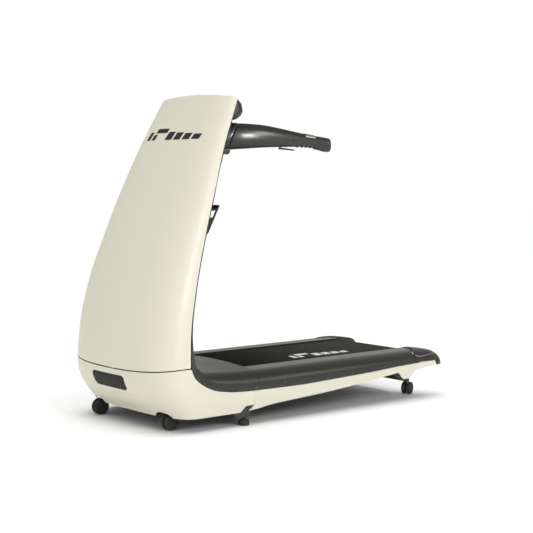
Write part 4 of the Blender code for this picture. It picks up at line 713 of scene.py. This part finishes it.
def side_cover_row(share, steps):
    """One row of the side cover, from the hood's slanted edge to the cap's."""
    y = PANEL_SPLIT + SEAM + (CAP_FRONT - CAP_RAKE - 0.002 - PANEL_SPLIT - SEAM) * share
    line_z = along(COVER_LINE, y)
    foot = Vector((side_x(line_z) + 0.001, y, line_z + SEAM))
    top = Vector((RAIL_OUT + 0.0015, y, 0.2285))
    lead = HOOD_PROFILE[0][0] - PANEL_SPLIT
    row = []
    for point in [top] + shoulder(top, foot, steps):
        ahead = (1 - share) * lead * (point.z - foot.z) / (top.z - foot.z)
        behind = share * (cap_seam_y(point.x) - (CAP_FRONT - CAP_RAKE))
        row.append(Vector((point.x, point.y + ahead + behind, point.z)))
    return row


def raked(line, y):
    """A row of the cap, drawn forward along the seam near its front."""
    hold = max(0.0, 1.0 - (y - CAP_FRONT) / 0.06)
    return [Vector((p.x, p.y + (cap_seam_y(p.x) - CAP_FRONT) * hold, p.z)) for p in line]


def loop_points(y0, z0, r0, y1, z1, r1, grow, count=14):
    """Closed path round two wheels in the side view, grown outwards by a distance."""
    r0, r1 = r0 + grow, r1 + grow
    lean = math.atan2(z1 - z0, y1 - y0)
    opened = math.acos((r0 - r1) / math.hypot(y1 - y0, z1 - z0))
    points = []
    ends = ((y0, z0, r0, lean + opened, 2 * math.pi - 2 * opened), (y1, z1, r1, lean - opened, 2 * opened))
    for y, z, r, start, sweep in ends:
        angles = [start + sweep * k / count for k in range(count + 1)]
        points += [(y + r * math.cos(a), z + r * math.sin(a)) for a in angles]
    return points


def console_share(z):
    """Share of the console's height, from its foot."""
    return (z - CONSOLE_FOOT) / CONSOLE_RISE


def console_half(z):
    return CONSOLE_HALF - 0.006 * console_share(z)


def console_ring(z, steps):
    plateau, (width, back, depth), half = along(CONSOLE_PROFILE, z), shell_at(z), console_half(z)
    back -= CONSOLE_BACK
    flange = half + 0.0005
    if z < FLANGE_TOP:
        share = 1 - (CONSOLE_BACK / depth) ** SHELL_NOSE_POWER
        flange = width * share ** (1 / SHELL_SIDE_POWER) - SHELL_WALL - TOP_CAP_GAP
    front = back + FLANGE_THICK
    ring = [(flange, back), (flange, front)]
    for a in quarter(steps):
        x = half - 0.034 + 0.034 * math.cos(a) ** (2 / 2.4)
        ring.append((x, front + (plateau - front) * math.sin(a) ** (2 / 2.4)))
    ring += [(x, plateau + 0.004 * (1 - (x / half) ** 2)) for x in (0.12, 0.04)]
    return ring + [(-x, y) for x, y in ring[::-1]]


def console_arch(x, z):
    return 0.014 * max(0.0, console_share(z)) * (1 - (x / 0.26) ** 2)


def console_face(x, z):
    """Point and outward normal on the user's side of the console, away from its ends."""

    def at(height):
        y = along(CONSOLE_PROFILE, height) + 0.004 * (1 - (x / console_half(z)) ** 2)
        return Vector((x, y, height + console_arch(x, height)))

    slope = at(z + 0.003) - at(z - 0.003)
    return at(z), Vector((0.0, slope.z, -slope.y)).normalized()


def arm_frame(part):
    """Centre, tangent, side vector and half sizes of the handlebar."""
    x, y, z, tall, wide = spline(ARM_STATIONS, part)
    ahead = spline(ARM_STATIONS, min(part + 0.01, 1.0))
    behind = spline(ARM_STATIONS, max(part - 0.01, 0.0))
    tangent = Vector((ahead[0] - behind[0], ahead[1] - behind[1], 0.0)).normalized()
    return Vector((x, y, z)), tangent, Vector((tangent.y, -tangent.x, 0.0)), tall, wide


def finger_wave(part):
    """Finger grooves under the grip, then the knob at the end."""
    if GROOVE_START < part < KNOB_START:
        return 0.0026 * math.sin((part - GROOVE_START) / (KNOB_START - GROOVE_START) * math.pi * 8)
    if part >= KNOB_START:
        return 0.0045 * math.sin(min(1.0, (part - KNOB_START) / 0.03) * math.pi / 2)
    return 0.0


def arm_ring(part, scale=1.0, grow=0.0, count=18, lean=0.0, shift=0.0):
    centre, tangent, side, tall, wide = arm_frame(part)
    ring = []
    for k in range(count):
        a = 2 * math.pi * k / count
        out = (wide * scale + grow) * signed_power(math.cos(a), 2 / ARM_POWER)
        up = (tall * scale + grow) * signed_power(math.sin(a), 2 / ARM_POWER)
        if math.sin(a) < -0.5:
            up -= finger_wave(part) * scale
        ring.append(centre + side * out + Vector((0, 0, up)) + tangent * (lean * up + shift))
    return ring


def arm_skin(part, angle, lift):
    """Point above the handlebar's skin at an angle round it, 90 degrees being the top."""
    centre, _, side, tall, wide = arm_frame(part)
    a = math.radians(angle)
    out = (wide + lift) * signed_power(math.cos(a), 2 / ARM_POWER)
    up = (tall + lift) * signed_power(math.sin(a), 2 / ARM_POWER)
    return centre + side * out + Vector((0, 0, up))


def paddle_pivot():
    """Middle of the paddle's pin, inside the handlebar, and the direction of the pin."""
    centre, tangent, side, tall, _ = arm_frame(PADDLE_START)
    return centre + tangent * 0.0045 + Vector((0, 0, 0.0055 - tall)), side


RIM_LOW = seam_z(SEAM_STATION) + SEAM_GAP / 2
FRONT_ROLLER_Z = BELT_TOP - BELT_THICK - FIT_GAP - FRONT_ROLLER_R
REAR_ROLLER_Z = BELT_TOP - BELT_THICK - FIT_GAP - REAR_ROLLER_R


# ---- pieces
def eased(made, width, segments=2):
    step = made.modifiers.new("edge", "BEVEL")
    step.width = width
    step.segments = segments
    step.limit_method = "ANGLE"
    step.angle_limit = math.radians(38.0)
    step.harden_normals = True


def piece(name, mesh, slot, node=None, body="base", bevel=0.0, sharp=32.0, look=None, segments=2):
    """Put a finished mesh on its body, in place of the CAD node that it stands for."""
    mesh.transform(Matrix.Translation((0.0, ORIGIN_SHIFT, 0.0)))
    mesh.materials.clear()
    mesh.materials.append(M[look or slot])
    mesh.shade_smooth()
    mesh.set_sharp_from_angle(angle=math.radians(sharp))
    made = linked(name, mesh)
    if bevel:
        eased(made, bevel, segments)
    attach(made, body)
    if node:
        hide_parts(node)


def flipped(mesh):
    """The mirror image of a mesh on the other side."""
    twin = mesh.copy()
    twin.transform(Matrix.Scale(-1, 4, (1, 0, 0)))
    twin.flip_normals()
    return twin


def both(name, mesh, slot, node, body="base", **options):
    """A left-hand piece and its mirror image. Body may hold a star for the hand."""
    for hand, shape in (("L", mesh), ("R", flipped(mesh))):
        piece(f"{name}_{hand}", shape, slot, f"{node}_{hand}", body.replace("*", hand), **options)


def carved(mesh, tools):
    """The mesh after a list of (operation, tool mesh) steps."""
    work = linked("work", mesh)
    used = []
    for operation, tool in tools:
        used.append(linked("tool", tool))
        step = work.modifiers.new("cut", "BOOLEAN")
        step.operation = operation
        step.solver = "EXACT"
        step.object = used[-1]
    bpy.context.view_layer.update()
    graph = bpy.context.evaluated_depsgraph_get()
    result = bpy.data.meshes.new_from_object(work.evaluated_get(graph))
    for helper in used + [work]:
        bpy.data.objects.remove(helper)
    return result


CUT = "DIFFERENCE"
ADD = "UNION"


def rim_point(z):
    return shell_point(math.pi / 2, max(z, RIM_LOW))


def fine_shell():
    grid = []
    angles = [math.radians(a) for a in spread(-90, 90, 129)]
    ends = [(seam_z(shell_point(angle, 0.27).y) + SEAM_GAP / 2, shell_top_z(angle)) for angle in angles]
    for k in range(97):
        part = k / 96
        grid.append([shell_point(angle, low + (high - low) * part) for angle, (low, high) in zip(angles, ends)])
    shape = wall("shell", grid, SHELL_WALL, (0, -0.45, 0.8))
    piece("shell_moulding", shape, "cream_shell", "upper_shell", bevel=0.0014, segments=3)


def fine_bowl():
    angles = [math.radians(a) for a in spread(90, -90, 85)]
    tops = [cover_line_point(part, -SEAM) for part in spread(0.0, 1.0, 64)]
    tops = [top for top in tops if top.y < seam_z(top.x) - SEAM_GAP / 2 - 0.002]
    grid = []
    for part in spread(0.0, 1.0, 26):
        part = 1 - (1 - part) ** 1.2
        column = []
        for station, high in tops:
            station = min(station, PANEL_SPLIT - SEAM / 2)
            column.append(bowl_side_point(station, high, high + (bowl_edge_z(station) - high) * part))
        line = column[:]
        for angle in angles:
            high = seam_z(bowl_front_point(angle, 0.27).y) - SEAM_GAP / 2
            line.append(bowl_front_point(angle, high + (BOWL_FOOT - high) * part))
        grid.append(line + [Vector((-point.x, point.y, point.z)) for point in column[::-1]])
    outline = rounded_outline(GRILLE_HALF, GRILLE_LOW, GRILLE_HIGH, GRILLE_CORNER, 8)
    inlet = [[Vector((x, y, z)) for x, y in INLET_HOLE] for z in (0.094, 0.128)]
    holes = (wheel_arch(1, 72), wheel_arch(-1, 72), drawn(outline, *VENT_REACH), loft("inlet", inlet))
    shape = carved(wall("bowl", grid, SHELL_WALL, (0, -0.45, 0.17)), [(CUT, hole) for hole in holes])
    piece("bowl_moulding", shape, "cream_shell", "lower_shell", bevel=0.0011)


def fine_grille():
    grid = []
    for z in spread(GRILLE_LOW - 0.004, GRILLE_HIGH + 0.004, 15):
        grid.append([Vector((x, bowl_front_y(x, z) + 0.0015, z)) for x in spread(-0.134, 0.134, 41)])
    gap = 0.0006
    outline = rounded_outline(GRILLE_HALF - gap, GRILLE_LOW + gap, GRILLE_HIGH - gap, GRILLE_CORNER - gap, 8)
    shape = carved(wall("grille", grid, 0.0035, (0, -0.45, 0.2)), [("INTERSECT", drawn(outline, *VENT_REACH))])
    piece("vent_grille", shape, "dark_matt", "air_grille", bevel=0.0007)


def fine_skirt():
    places = spread(PANEL_SPLIT + SEAM, -0.26, 14) + spread(-0.245, 0.53, 44) + spread(0.54, 0.7, 40)
    places += spread(0.71, 0.78, 14) + spread(0.785, 0.808, 10)
    grid = []
    for part in spread(0.0, 1.0, 18):
        line = []
        for y in places:
            high, low = along(COVER_LINE, y) - SEAM, along(SKIRT_EDGE, y)
            if y > 0.79:
                high -= 0.01 * ((y - 0.79) / 0.018) ** 2
            z = high + (low - high) * part
            lead = clamped((-0.3 - y) / 0.024)
            tip = 0.03 * lead * max(0.0, (NOTCH_HEIGHT - 0.002 - z) / (NOTCH_HEIGHT - 0.063))
            line.append(Vector((side_x(z), y - tip, z)))
        grid.append(line)
    both("skirt_moulding", wall("skirt", grid, 0.0035, (0, 0.2, 0.12)), "cream_shell", "side_skirt", bevel=0.001)


def fine_hood():
    grid = [hood_row(part, 10, 18) for part in spread(0.0, 1.0, 90)]
    shape = wall("hood", grid, HOOD_WALL, (0, -0.5, 0.12))
    piece("hood_moulding", shape, "dark_gloss", "motor_hood", bevel=0.001)


def fine_cover():
    grid = []
    for z in spread(0.4205 + SEAM, COVER_TOP, 90):
        line = [Vector((x, cover_y(x, z), z)) for x in spread(0.0, shell_at(z)[0] - COVER_MARGIN, 10)]
        rim = rim_point(z)
        foot = Vector((rim.x, rim.y + RIM_STAND, z))
        grid.append(mirrored_row(line + shoulder(line[-1], foot, 12)))
    piece("inner_cover", wall("cover", grid, HOOD_WALL, (0, -0.9, 0.8)), "dark_gloss", "column_cover", bevel=0.0009)


def fine_side_cover():
    grid = [side_cover_row(share, 20) for share in spread(0.0, 1.0, 90)]
    shape = wall("long_cover", grid, HOOD_WALL, (0.3, 0.2, 0.15))
    both("long_cover", shape, "dark_gloss", "side_cover", bevel=0.0009)


def fine_cap_row(y):
    top_z, out_x, in_x, low_z = stations(CAP_STATIONS, y)
    rise, wide = min(0.03, (top_z - low_z) * 0.5), out_x - in_x
    line = [Vector((in_x, y, top_z - rise))]
    for a in quarter(8):
        line.append(Vector((in_x + 0.01 * (1 - math.cos(a)), y, top_z - rise * 0.45 * (1 - math.sin(a)))))
    line += [Vector((in_x + share * wide, y, top_z)) for share in (0.2, 0.32)]
    line.append(Vector((in_x + 0.42 * wide, y, top_z - 0.0004)))
    return raked(line + shoulder(line[-1], Vector((out_x, y, low_z)), 20, 2.15), y)


def cap_skin(y, z):
    """Point of the cap's outer skin on the row at a station, at a height."""
    row = fine_cap_row(y)[12:]
    for a, b in zip(row, row[1:]):
        if b.z <= z <= a.z:
            return a.lerp(b, (a.z - z) / max(a.z - b.z, 1e-9))
    return row[-1]


def fine_caps():
    grid = [fine_cap_row(y) for y in spread(CAP_FRONT, 0.8, 30) + spread(0.803, 0.8735, 34)]
    both("end_cap", wall("end_cap", grid, 0.0025, (0.31, 0.78, 0.12)), "dark_gloss", "rear_cap", bevel=0.0008)
    grid = []
    first, last = TRIM_LINE[0][0], 0.848
    for share in (-1.0, -0.6, 0.0, 0.6, 1.0):
        line = []
        for y in spread(first, last, 70):
            height = along(TRIM_LINE, y) - 0.0019 * share * min(1.0, 0.4 + min(y - first, last - y) / 0.012)
            spot = cap_skin(y, height)
            line.append(Vector((spot.x + (0.0012 + 0.001 * (1 - share * share)), spot.y, height)))
        grid.append(line)
    both("bright_line", wall("bright_line", grid, 0.0008, (0.3, 0.8, 0.19)), "chrome", "rear_trim")


def fine_rails():
    for name, node, low, high, inset, slot in (
        ("rail_seat", "rail_base", 0.2215, 0.229, 0.0, "dark_matt"),
        ("rail_tread", "foot_rail", 0.2293, 0.232, 0.0012, "rail_strip"),
    ):
        top, bottom = [], []
        line = spread(HOOD_PROFILE[0][0] + 0.0018 + inset, CAP_FRONT - 0.0015 - inset, 30)
        for x in spread(RAIL_IN + inset, RAIL_OUT - inset, 29):
            fall = 0.0028 * (x - RAIL_IN) / (RAIL_OUT - RAIL_IN)
            floor = low if name == "rail_seat" else low - fall
            top.append([Vector((x, y, high - fall)) for y in line])
            bottom.append([Vector((x, y, floor)) for y in line])
        both(name, two_skins(name, top, bottom), slot, node, bevel=0.0007)


def fine_belt():
    ends = (FRONT_ROLLER_Y, FRONT_ROLLER_Z, FRONT_ROLLER_R, REAR_ROLLER_Y, REAR_ROLLER_Z, REAR_ROLLER_R)
    inner, outer = (loop_points(*ends, FIT_GAP + lift, 40) for lift in (0.0, BELT_THICK))
    rows, low = [], []
    for x in (-BELT_HALF, -BELT_HALF + 0.0008, 0.0, BELT_HALF - 0.0008, BELT_HALF):
        sink = (0.0007 if abs(x) == BELT_HALF else 0.0) / BELT_THICK
        rows.append([Vector((x, y, z)).lerp(Vector((x, b, c)), sink) for (y, z), (b, c) in zip(outer, inner)])
        low.append([Vector((rows[-1][0].x, y, z)) for y, z in inner])
    for row in rows + low:
        row.append(row[0].copy())
    piece("belt_loop", two_skins("belt", rows, low), "belt_fabric", "running_belt", sharp=50.0)


def fine_levelling_feet():
    profile = [(0.0, 0.0)] + [(FOOT_R - inset, z) for inset, z in PAD_RIM] + list(PAD_NUT)
    for k in range(26):
        profile += [(0.0052, 0.029 + 0.0016 * k), (0.0046, 0.0298 + 0.0016 * k)]
    mesh = turned(profile + [(0.005, 0.0705), (0.0, 0.0705)], (FOOT_X, FOOT_Y, 0.0), (0, 0, 1), 48)
    both("foot_pad", mesh, "rubber", "levelling_foot", "foot_*", sharp=28.0)


def fine_castor(kind, side):
    front, hand = kind == "front", "L" if side > 0 else "R"
    label = f"{kind}_castor_{hand}"
    x, y = FRONT_CASTOR if front else REAR_CASTOR
    x *= side
    turn = math.radians(0.0 if front else REAR_TURN * side)
    axle = Vector((math.cos(turn), math.sin(turn), 0.0))
    if front:
        radius, half, stem_high = FRONT_WHEEL_R, 0.019, 0.117
        hub, top = Vector((x, y + FRONT_TRAIL * side, radius)), 2 * radius + 0.004
        stem = ((0.0, 0.0165, 0.006, 40, 0.0012), (0.003, 0.007, stem_high - top - 0.003, 32, 0.0008))
    else:
        radius, half, stem_high = REAR_WHEEL_R, REAR_WHEEL_HALF, 0.0825
        hub, top = Vector((x - axle.y * REAR_TRAIL, y + axle.x * REAR_TRAIL, radius)), 2 * radius + 0.001
        stem = ((0.0, 0.012, 0.0015, 40, 0.0004), (0.0007, 0.007, stem_high - top - 0.0007, 32, 0.0004))
    disc = [(0.0, -0.0045), (0.0205, -0.0045), (0.0218, -0.004), (0.022, -0.003)]
    disc += [(r, -h) for r, h in disc[::-1]]
    across = Vector((hub.x - x, hub.y - y, 0.0)).normalized()
    rings = []
    for share in spread(0.0, 1.0, 7):
        place = (hub + across * 0.001).lerp(Vector((x, y, 0.0)), share)
        place.z = radius + 0.006 + (top + 0.0008 - radius - 0.006) * share
        long = 0.009 + 0.003 * (1 - share)
        rings.append([place + axle * out + across * (long * up) for out, up in oval(16, 0.0039, 1.0, 0.55, 0.55)])
    tools = [(ADD, loft("neck", rings))]
    tools += [(ADD, rod((x, y, top + lift), (0, 0, 1), *sizes)) for lift, *sizes in stem]
    tools.append((CUT, rod(hub - axle * 0.02, axle, 0.0045, 0.04, 24)))
    shape = carved(turned(disc, hub, axle, 48), tools)
    piece(f"{label}_yoke", shape, "dark_matt", f"{label}_fork", f"{kind}_fork_{hand}", bevel=0.0006)
    inner = 0.0053
    middle = (half + inner) / 2
    profile = [(radius * r, half - h) for r, h in WHEEL_FACE]
    profile += [(radius - 0.004 + 0.004 * math.sin(a), half - 0.004 + 0.004 * math.cos(a)) for a in quarter(6)]
    profile += [(radius - 0.0006, middle + 0.0006), (radius - 0.0006, middle - 0.0006), (radius, middle - 0.0014)]
    profile += [(radius, inner + 0.003), (radius - 0.001, inner + 0.001), (radius - 0.003, inner), (0.004, inner)]
    mesh = turned([(r, -h) for r, h in profile] + profile[::-1], hub, axle, 64)
    piece(f"{label}_rolls", mesh, "rubber", f"{label}_wheels", f"{kind}_wheels_{hand}", sharp=25.0)


def fine_console():
    levels = [CONSOLE_FOOT + 0.0002, 1.3195, 1.321] + spread(1.3235, 1.388, 26)
    levels += spread(1.3905, 1.4225, 13) + [1.424, 1.4245]
    rings = [[Vector((x, y, z + console_arch(x, z))) for x, y in console_ring(z, 12)] for z in levels]
    tools = []
    button = (0.0055, BUTTON_R + 0.0008)
    for name, (sink, radius) in zip(CONSOLE_KEYS, (button, button, (0.0045, KEY_R + 0.001))):
        point, normal = console_face(*CONSOLE_KEYS[name])
        tools.append((CUT, rod(point - normal * sink, normal, radius, 0.02, 40)))
    shape = carved(loft("console", rings), tools)
    piece("console_case", shape, "dark_gloss", "console_housing", bevel=0.0008, sharp=40.0)


def fine_display():
    spots = [[console_face(x, z) for x in spread(-0.14, 0.14, 29)] for z in spread(1.374, 1.412, 13)]
    outer, inner = ([[point + normal * lift for point, normal in row] for row in spots] for lift in (0.0024, 0.0004))
    piece("console_window", two_skins("panel", outer, inner), "display_glass", "console_display", bevel=0.0007)
    arrow = ((-0.003, -0.004), (0.0045, 0.0), (-0.003, 0.004))
    square = [(0.0034 * x, 0.0034 * z) for x, z in ((-1, -1), (1, -1), (1, 1), (-1, 1))]
    for hand, slot, corners in (("start", "green", arrow), ("stop", "red", square)):
        name, part = f"{hand}_button", f"{hand}_key"
        point, normal = console_face(*CONSOLE_KEYS[name])
        profile = [(0.0, 0.0)] + [(BUTTON_R - inset, z) for inset, z in BUTTON_EDGE] + [(0.0, 0.0048)]
        piece(part, turned(profile, point - normal * 0.0035, normal, 48), slot, name, name, sharp=30.0)
        across = Vector((1, 0, 0))
        upward = normal.cross(across).normalized()
        mark = point - normal * 0.0035 + normal * 0.0049
        rings = [[mark + across * a + upward * b + normal * lift for a, b in corners] for lift in (-0.0002, 0.00015)]
        piece(f"{part}_mark", loft("mark", rings), slot, body=name, look="pale_ink")
    point, normal = console_face(*CONSOLE_KEYS["safety_key"])
    profile = [(0.0, 0.0)] + [(KEY_R - inset, z) for inset, z in KEY_EDGE] + [(0.0, 0.0105)]
    mesh = turned(profile, point - normal * 0.0038, normal, 48)
    piece("safety_plug", mesh, "red", "safety_key", "safety_key", sharp=30.0)


def fine_arms():
    base, tangent = [], arm_frame(0.0)[1]
    for spot in arm_ring(0.0, grow=0.003, count=48):
        for _ in range(12):
            gap = spot.y - (cover_y(spot.x, spot.z) + 2 * FIT_GAP)
            spot = spot - tangent * (gap / tangent.y)
        base.append(spot)
    target = arm_ring(0.12, grow=0.0018, count=48, lean=LEAN)
    rings = [base] + [[near.lerp(far, share) for near, far in zip(base, target)] for share in spread(0.06, 1.0, 14)]
    lips = [(0.132, 0.0017), (0.145, 0.0015), (COLLAR_END - 0.006, 0.0013), (COLLAR_END - 0.002, 0.0006)]
    lips.append((COLLAR_END, -0.0006))
    rings += [arm_ring(part, grow=grow, count=48, lean=LEAN) for part, grow in lips]
    both("arm_collar", loft("collar", rings), "dark_gloss", "handlebar_collar", bevel=0.0006, sharp=40.0)
    rings = [arm_ring(COLLAR_END, grow=-0.0022, count=48, lean=LEAN, shift=0.0005)]
    for part, grow in ((0.003, -0.0012), (0.008, -0.0003)):
        rings.append(arm_ring(COLLAR_END + part, grow=grow, count=48, lean=LEAN))
    for part in spread(COLLAR_END + 0.014, 0.96, 110):
        rings.append(arm_ring(part, count=48, lean=LEAN * max(0.0, 1 - (part - 0.18) / 0.4)))
    for k in range(1, 9):
        a = math.radians(90 * k / 8.6)
        rings.append(arm_ring(0.96 + 0.038 * math.sin(a), scale=math.cos(a) ** 0.45, count=48))
    spot, side = paddle_pivot()
    tools = [(CUT, rod(spot - side * 0.005, side, 0.0041, 0.01, 24))]
    tools.append((CUT, rod(spot - Vector((0, 0, 0.009)), (0, 0, 1), 0.0034, 0.009, 16)))
    both("arm_moulding", carved(loft("arm", rings), tools), "dark_gloss", "handlebar", sharp=50.0)
    outer, inner = [], []
    for part in spread(0.665, 0.755, 24):
        lift = 0.0008 + 0.0014 * math.sqrt(clamped(min(part - 0.665, 0.755 - part) / 0.006))
        angles = spread(125, 27, 29)
        outer.append([arm_skin(part, angle, lift if 32 < angle < 120 else 0.001) for angle in angles])
        inner.append([arm_skin(part, angle, 0.0004) for angle in angles])
    both("pulse_contact", two_skins("pulse", outer, inner), "steel", "pulse_plate", bevel=0.0004)


def fine_paddles():
    rings = []
    for share in spread(0.0, 1.0, 25):
        centre, _, side, tall, _ = arm_frame(PADDLE_START + (PADDLE_END - PADDLE_START) * share)
        half = 0.0095 * (1.0 - 0.35 * share**3) * (1.0 if share < 0.97 else 0.86)
        top = centre.z - tall - 0.0009 - 0.01 * share
        thick = 0.0085 - 0.003 * share
        shape = oval(20, half, thick / 2, 0.45, 0.55)
        rings.append([Vector((centre.x, centre.y, top - thick / 2 + up)) + side * out for out, up in shape])
    spot, side = paddle_pivot()
    tools = [(ADD, rod(spot - side * 0.0045, side, 0.0034, 0.009, 24))]
    tools.append((ADD, rod(spot - Vector((0, 0, 0.008)), (0, 0, 1), 0.0022, 0.008, 16)))
    both("speed_lever", carved(loft("paddle", rings), tools), "dark_matt", "speed_paddle", "paddle_*", sharp=40.0)


# ---- marks
def slanted_bars(lean, height):
    """Corner lists of the slanted bars, along one line."""
    shapes = []
    for start, width, low, high in MARK_BARS:
        corners = ((start, low), (start + width, low), (start + width, high), (start, high))
        shapes.append([(x + lean * level, level * height) for x, level in corners])
    return shapes


MARK_BARS = (
    (0.0, 0.03, 0.0, 0.72), (0.052, 0.092, 0.62, 1.0), (0.046, 0.03, 0.0, 0.5), (0.16, 0.05, 0.0, 0.7),
    (0.225, 0.05, 0.0, 0.62), (0.29, 0.05, 0.0, 0.54), (0.355, 0.05, 0.0, 0.46),
)


def shell_mark():
    """Plain row of slanted bars, printed on the front of the shell."""
    for k, corners in enumerate(slanted_bars(0.02, 0.052)):
        low_left, low_right, high_right, high_left = map(Vector, corners)
        outer, inner = [], []
        for share in spread(0.0, 1.0, 9):
            near, far = low_left.lerp(high_left, share), low_right.lerp(high_right, share)
            line = []
            for spot in [near.lerp(far, step) for step in spread(0.0, 1.0, 9)]:
                x, z = -0.21 + spot.x, 1.24 + spot.y
                width, edge, depth = shell_at(z)
                y = edge - depth * (1 - min(1.0, abs(x) / width) ** SHELL_SIDE_POWER) ** (1 / SHELL_NOSE_POWER)
                line.append((x, y, z))
            outer.append([Vector((x, y - 0.0004, z)) for x, y, z in line])
            inner.append([Vector((x, y + 0.0004, z)) for x, y, z in line])
        piece(f"shell_print_{k}", two_skins("print", outer, inner), "cream_shell", look="ink")


def belt_mark():
    """The same bars, printed along the belt."""
    for k, corners in enumerate(slanted_bars(0.03, 0.095)):
        spots = [(0.135 - b, 0.115 + 0.86 * a) for a, b in corners]
        rings = [[Vector((x, y, BELT_TOP + lift)) for x, y in spots] for lift in (-0.0002, 0.0004)]
        piece(f"belt_print_{k}", loft("print", rings), "belt_fabric", look="pale_ink")


# ---- CAD nodes kept as they are, with eased edges
EASED = {
    "base_frame": 0.0016, "upright_frame": 0.0016, "deck_board": 0.001, "deck_cushion_L": 0.0008,
    "deck_cushion_R": 0.0008, "controller": 0.0012, "belly_pan": 0.0005, "mains_inlet": 0.0004,
    "power_switch": 0.0003, "top_cap": 0.0006, "bottle_holder_L": 0.0009, "bottle_holder_R": 0.0009,
}


def ease_edges():
    for name, width in EASED.items():
        eased(frame["nodes"][name], width)


fine_shell()
fine_bowl()
fine_grille()
fine_skirt()
fine_hood()
fine_cover()
fine_side_cover()
fine_caps()
fine_rails()
fine_belt()
fine_levelling_feet()
for place in ("front", "rear"):
    for hand_side in (1, -1):
        fine_castor(place, hand_side)
fine_console()
fine_display()
fine_arms()
fine_paddles()
shell_mark()
belt_mark()
ease_edges()


# ---- camera, floor and light
def aimed(name, data, place, ahead):
    """Camera or light at a place, looking along a direction."""
    made = linked(name, data)
    made.location = place
    made.rotation_mode = "QUATERNION"
    made.rotation_quaternion = ahead.to_track_quat("-Z", "Y")
    return made


def make_camera():
    data = bpy.data.cameras.new("camera")
    data.lens = 83.74
    data.sensor_width = 36.0
    data.clip_end = 60.0
    turn, dip = math.radians(CAMERA_TURN), math.radians(CAMERA_DIP)
    ahead = Vector((-math.sin(turn) * math.cos(dip), math.cos(turn) * math.cos(dip), -math.sin(dip)))
    bpy.context.scene.camera = aimed("camera", data, (4.558, -3.6667, 1.068), ahead)


def softbox(name, place, aim, size, power, diffuse=True):
    data = bpy.data.lights.new(name, "AREA")
    data.shape = "RECTANGLE"
    data.size, data.size_y = size
    data.energy = power
    aimed(name, data, place, Vector(aim) - Vector(place)).visible_diffuse = diffuse


def make_floor():
    mesh = bpy.data.meshes.new("floor")
    corners = [(x * FLOOR_HALF, y * FLOOR_HALF, 0.0) for x, y in ((-1, -1), (1, -1), (1, 1), (-1, 1))]
    mesh.from_pydata(corners, [], [(0, 1, 2, 3)])
    look = Look("floor_paper", (0.975, 0.975, 0.975), 0.95, Specular_IOR_Level=0.1)
    mesh.materials.append(look.emboss(look.noise(60.0, 3.0), 0.0002, 0.2).done())
    linked("floor", mesh)


def make_sky():
    """Even white surround. Reflections see it brighter on the camera's side and darker behind and overhead."""
    world = bpy.data.worlds.new("studio")
    bpy.context.scene.world = world
    world.use_nodes = True
    sky = Tree(world.node_tree)
    path = sky.node("ShaderNodeLightPath").outputs
    place = sky.node("ShaderNodeTexCoord").outputs["Generated"]

    def blended(factor, first, second):
        return sky.node("ShaderNodeMix", {0: factor, 2: first, 3: second}).outputs[0]

    facing = sky.node("ShaderNodeVectorMath", {0: place, 1: (0.776, -0.63, 0.0)}, operation="DOT_PRODUCT")
    height = sky.node("ShaderNodeSeparateXYZ", {0: place}).outputs["Z"]
    level = sky.ranged(facing.outputs["Value"], -0.4, 0.8, GLOSS_FAR, GLOSS_NEAR)
    seen = blended(sky.ranged(height, 0.25, 0.85, 0.0, 1.0), level, GLOSS_TOP)
    lit = blended(path["Is Glossy Ray"], SKY_LIGHT, seen)
    back = sky.tree.nodes["Background"].inputs
    back["Color"].default_value = (1.0, 1.0, 1.0, 1.0)
    sky.tree.links.new(blended(path["Is Camera Ray"], lit, SKY_SEEN), back["Strength"])


def make_sun():
    data = bpy.data.lights.new("overhead", "SUN")
    data.energy = SUN_POWER
    data.angle = math.radians(SUN_WIDTH)
    aimed("overhead", data, (0.0, 0.0, 0.0), Vector(SUN_FALL).normalized()).visible_glossy = False


CAMERA_TURN, CAMERA_DIP = 50.9085, 4.052
FLOOR_HALF = 30.0
SKY_LIGHT, SKY_SEEN = 0.5, 0.995
GLOSS_FAR, GLOSS_NEAR, GLOSS_TOP = 0.42, 1.35, 0.3
SUN_POWER, SUN_WIDTH = 1.7, 60.0
SUN_FALL = (0.02, -0.08, -1.0)

bpy.context.scene.view_settings.view_transform = "Standard"
make_camera()
make_floor()
make_sky()
make_sun()
for name, place, aim, size, power, diffuse in (
    ("near_light", (4.6, -0.6, 2.4), (0.0, 0.0, 0.6), (1.3, 1.3), 60.0, True),
    ("front_light", (1.2, -5.0, 2.0), (0.0, -0.5, 0.8), (3.0, 2.4), 10.0, True),
    ("arm_highlight", (3.1, -1.3, 1.38), (0.3, -0.27, 1.25), (0.22, 0.18), 45.0, False),
    ("shoulder_highlight", (1.9, 1.6, 1.75), (0.38, -0.5, 0.2), (1.0, 0.7), 4.0, False),
):
    softbox(name, place, aim, size, power, diffuse)
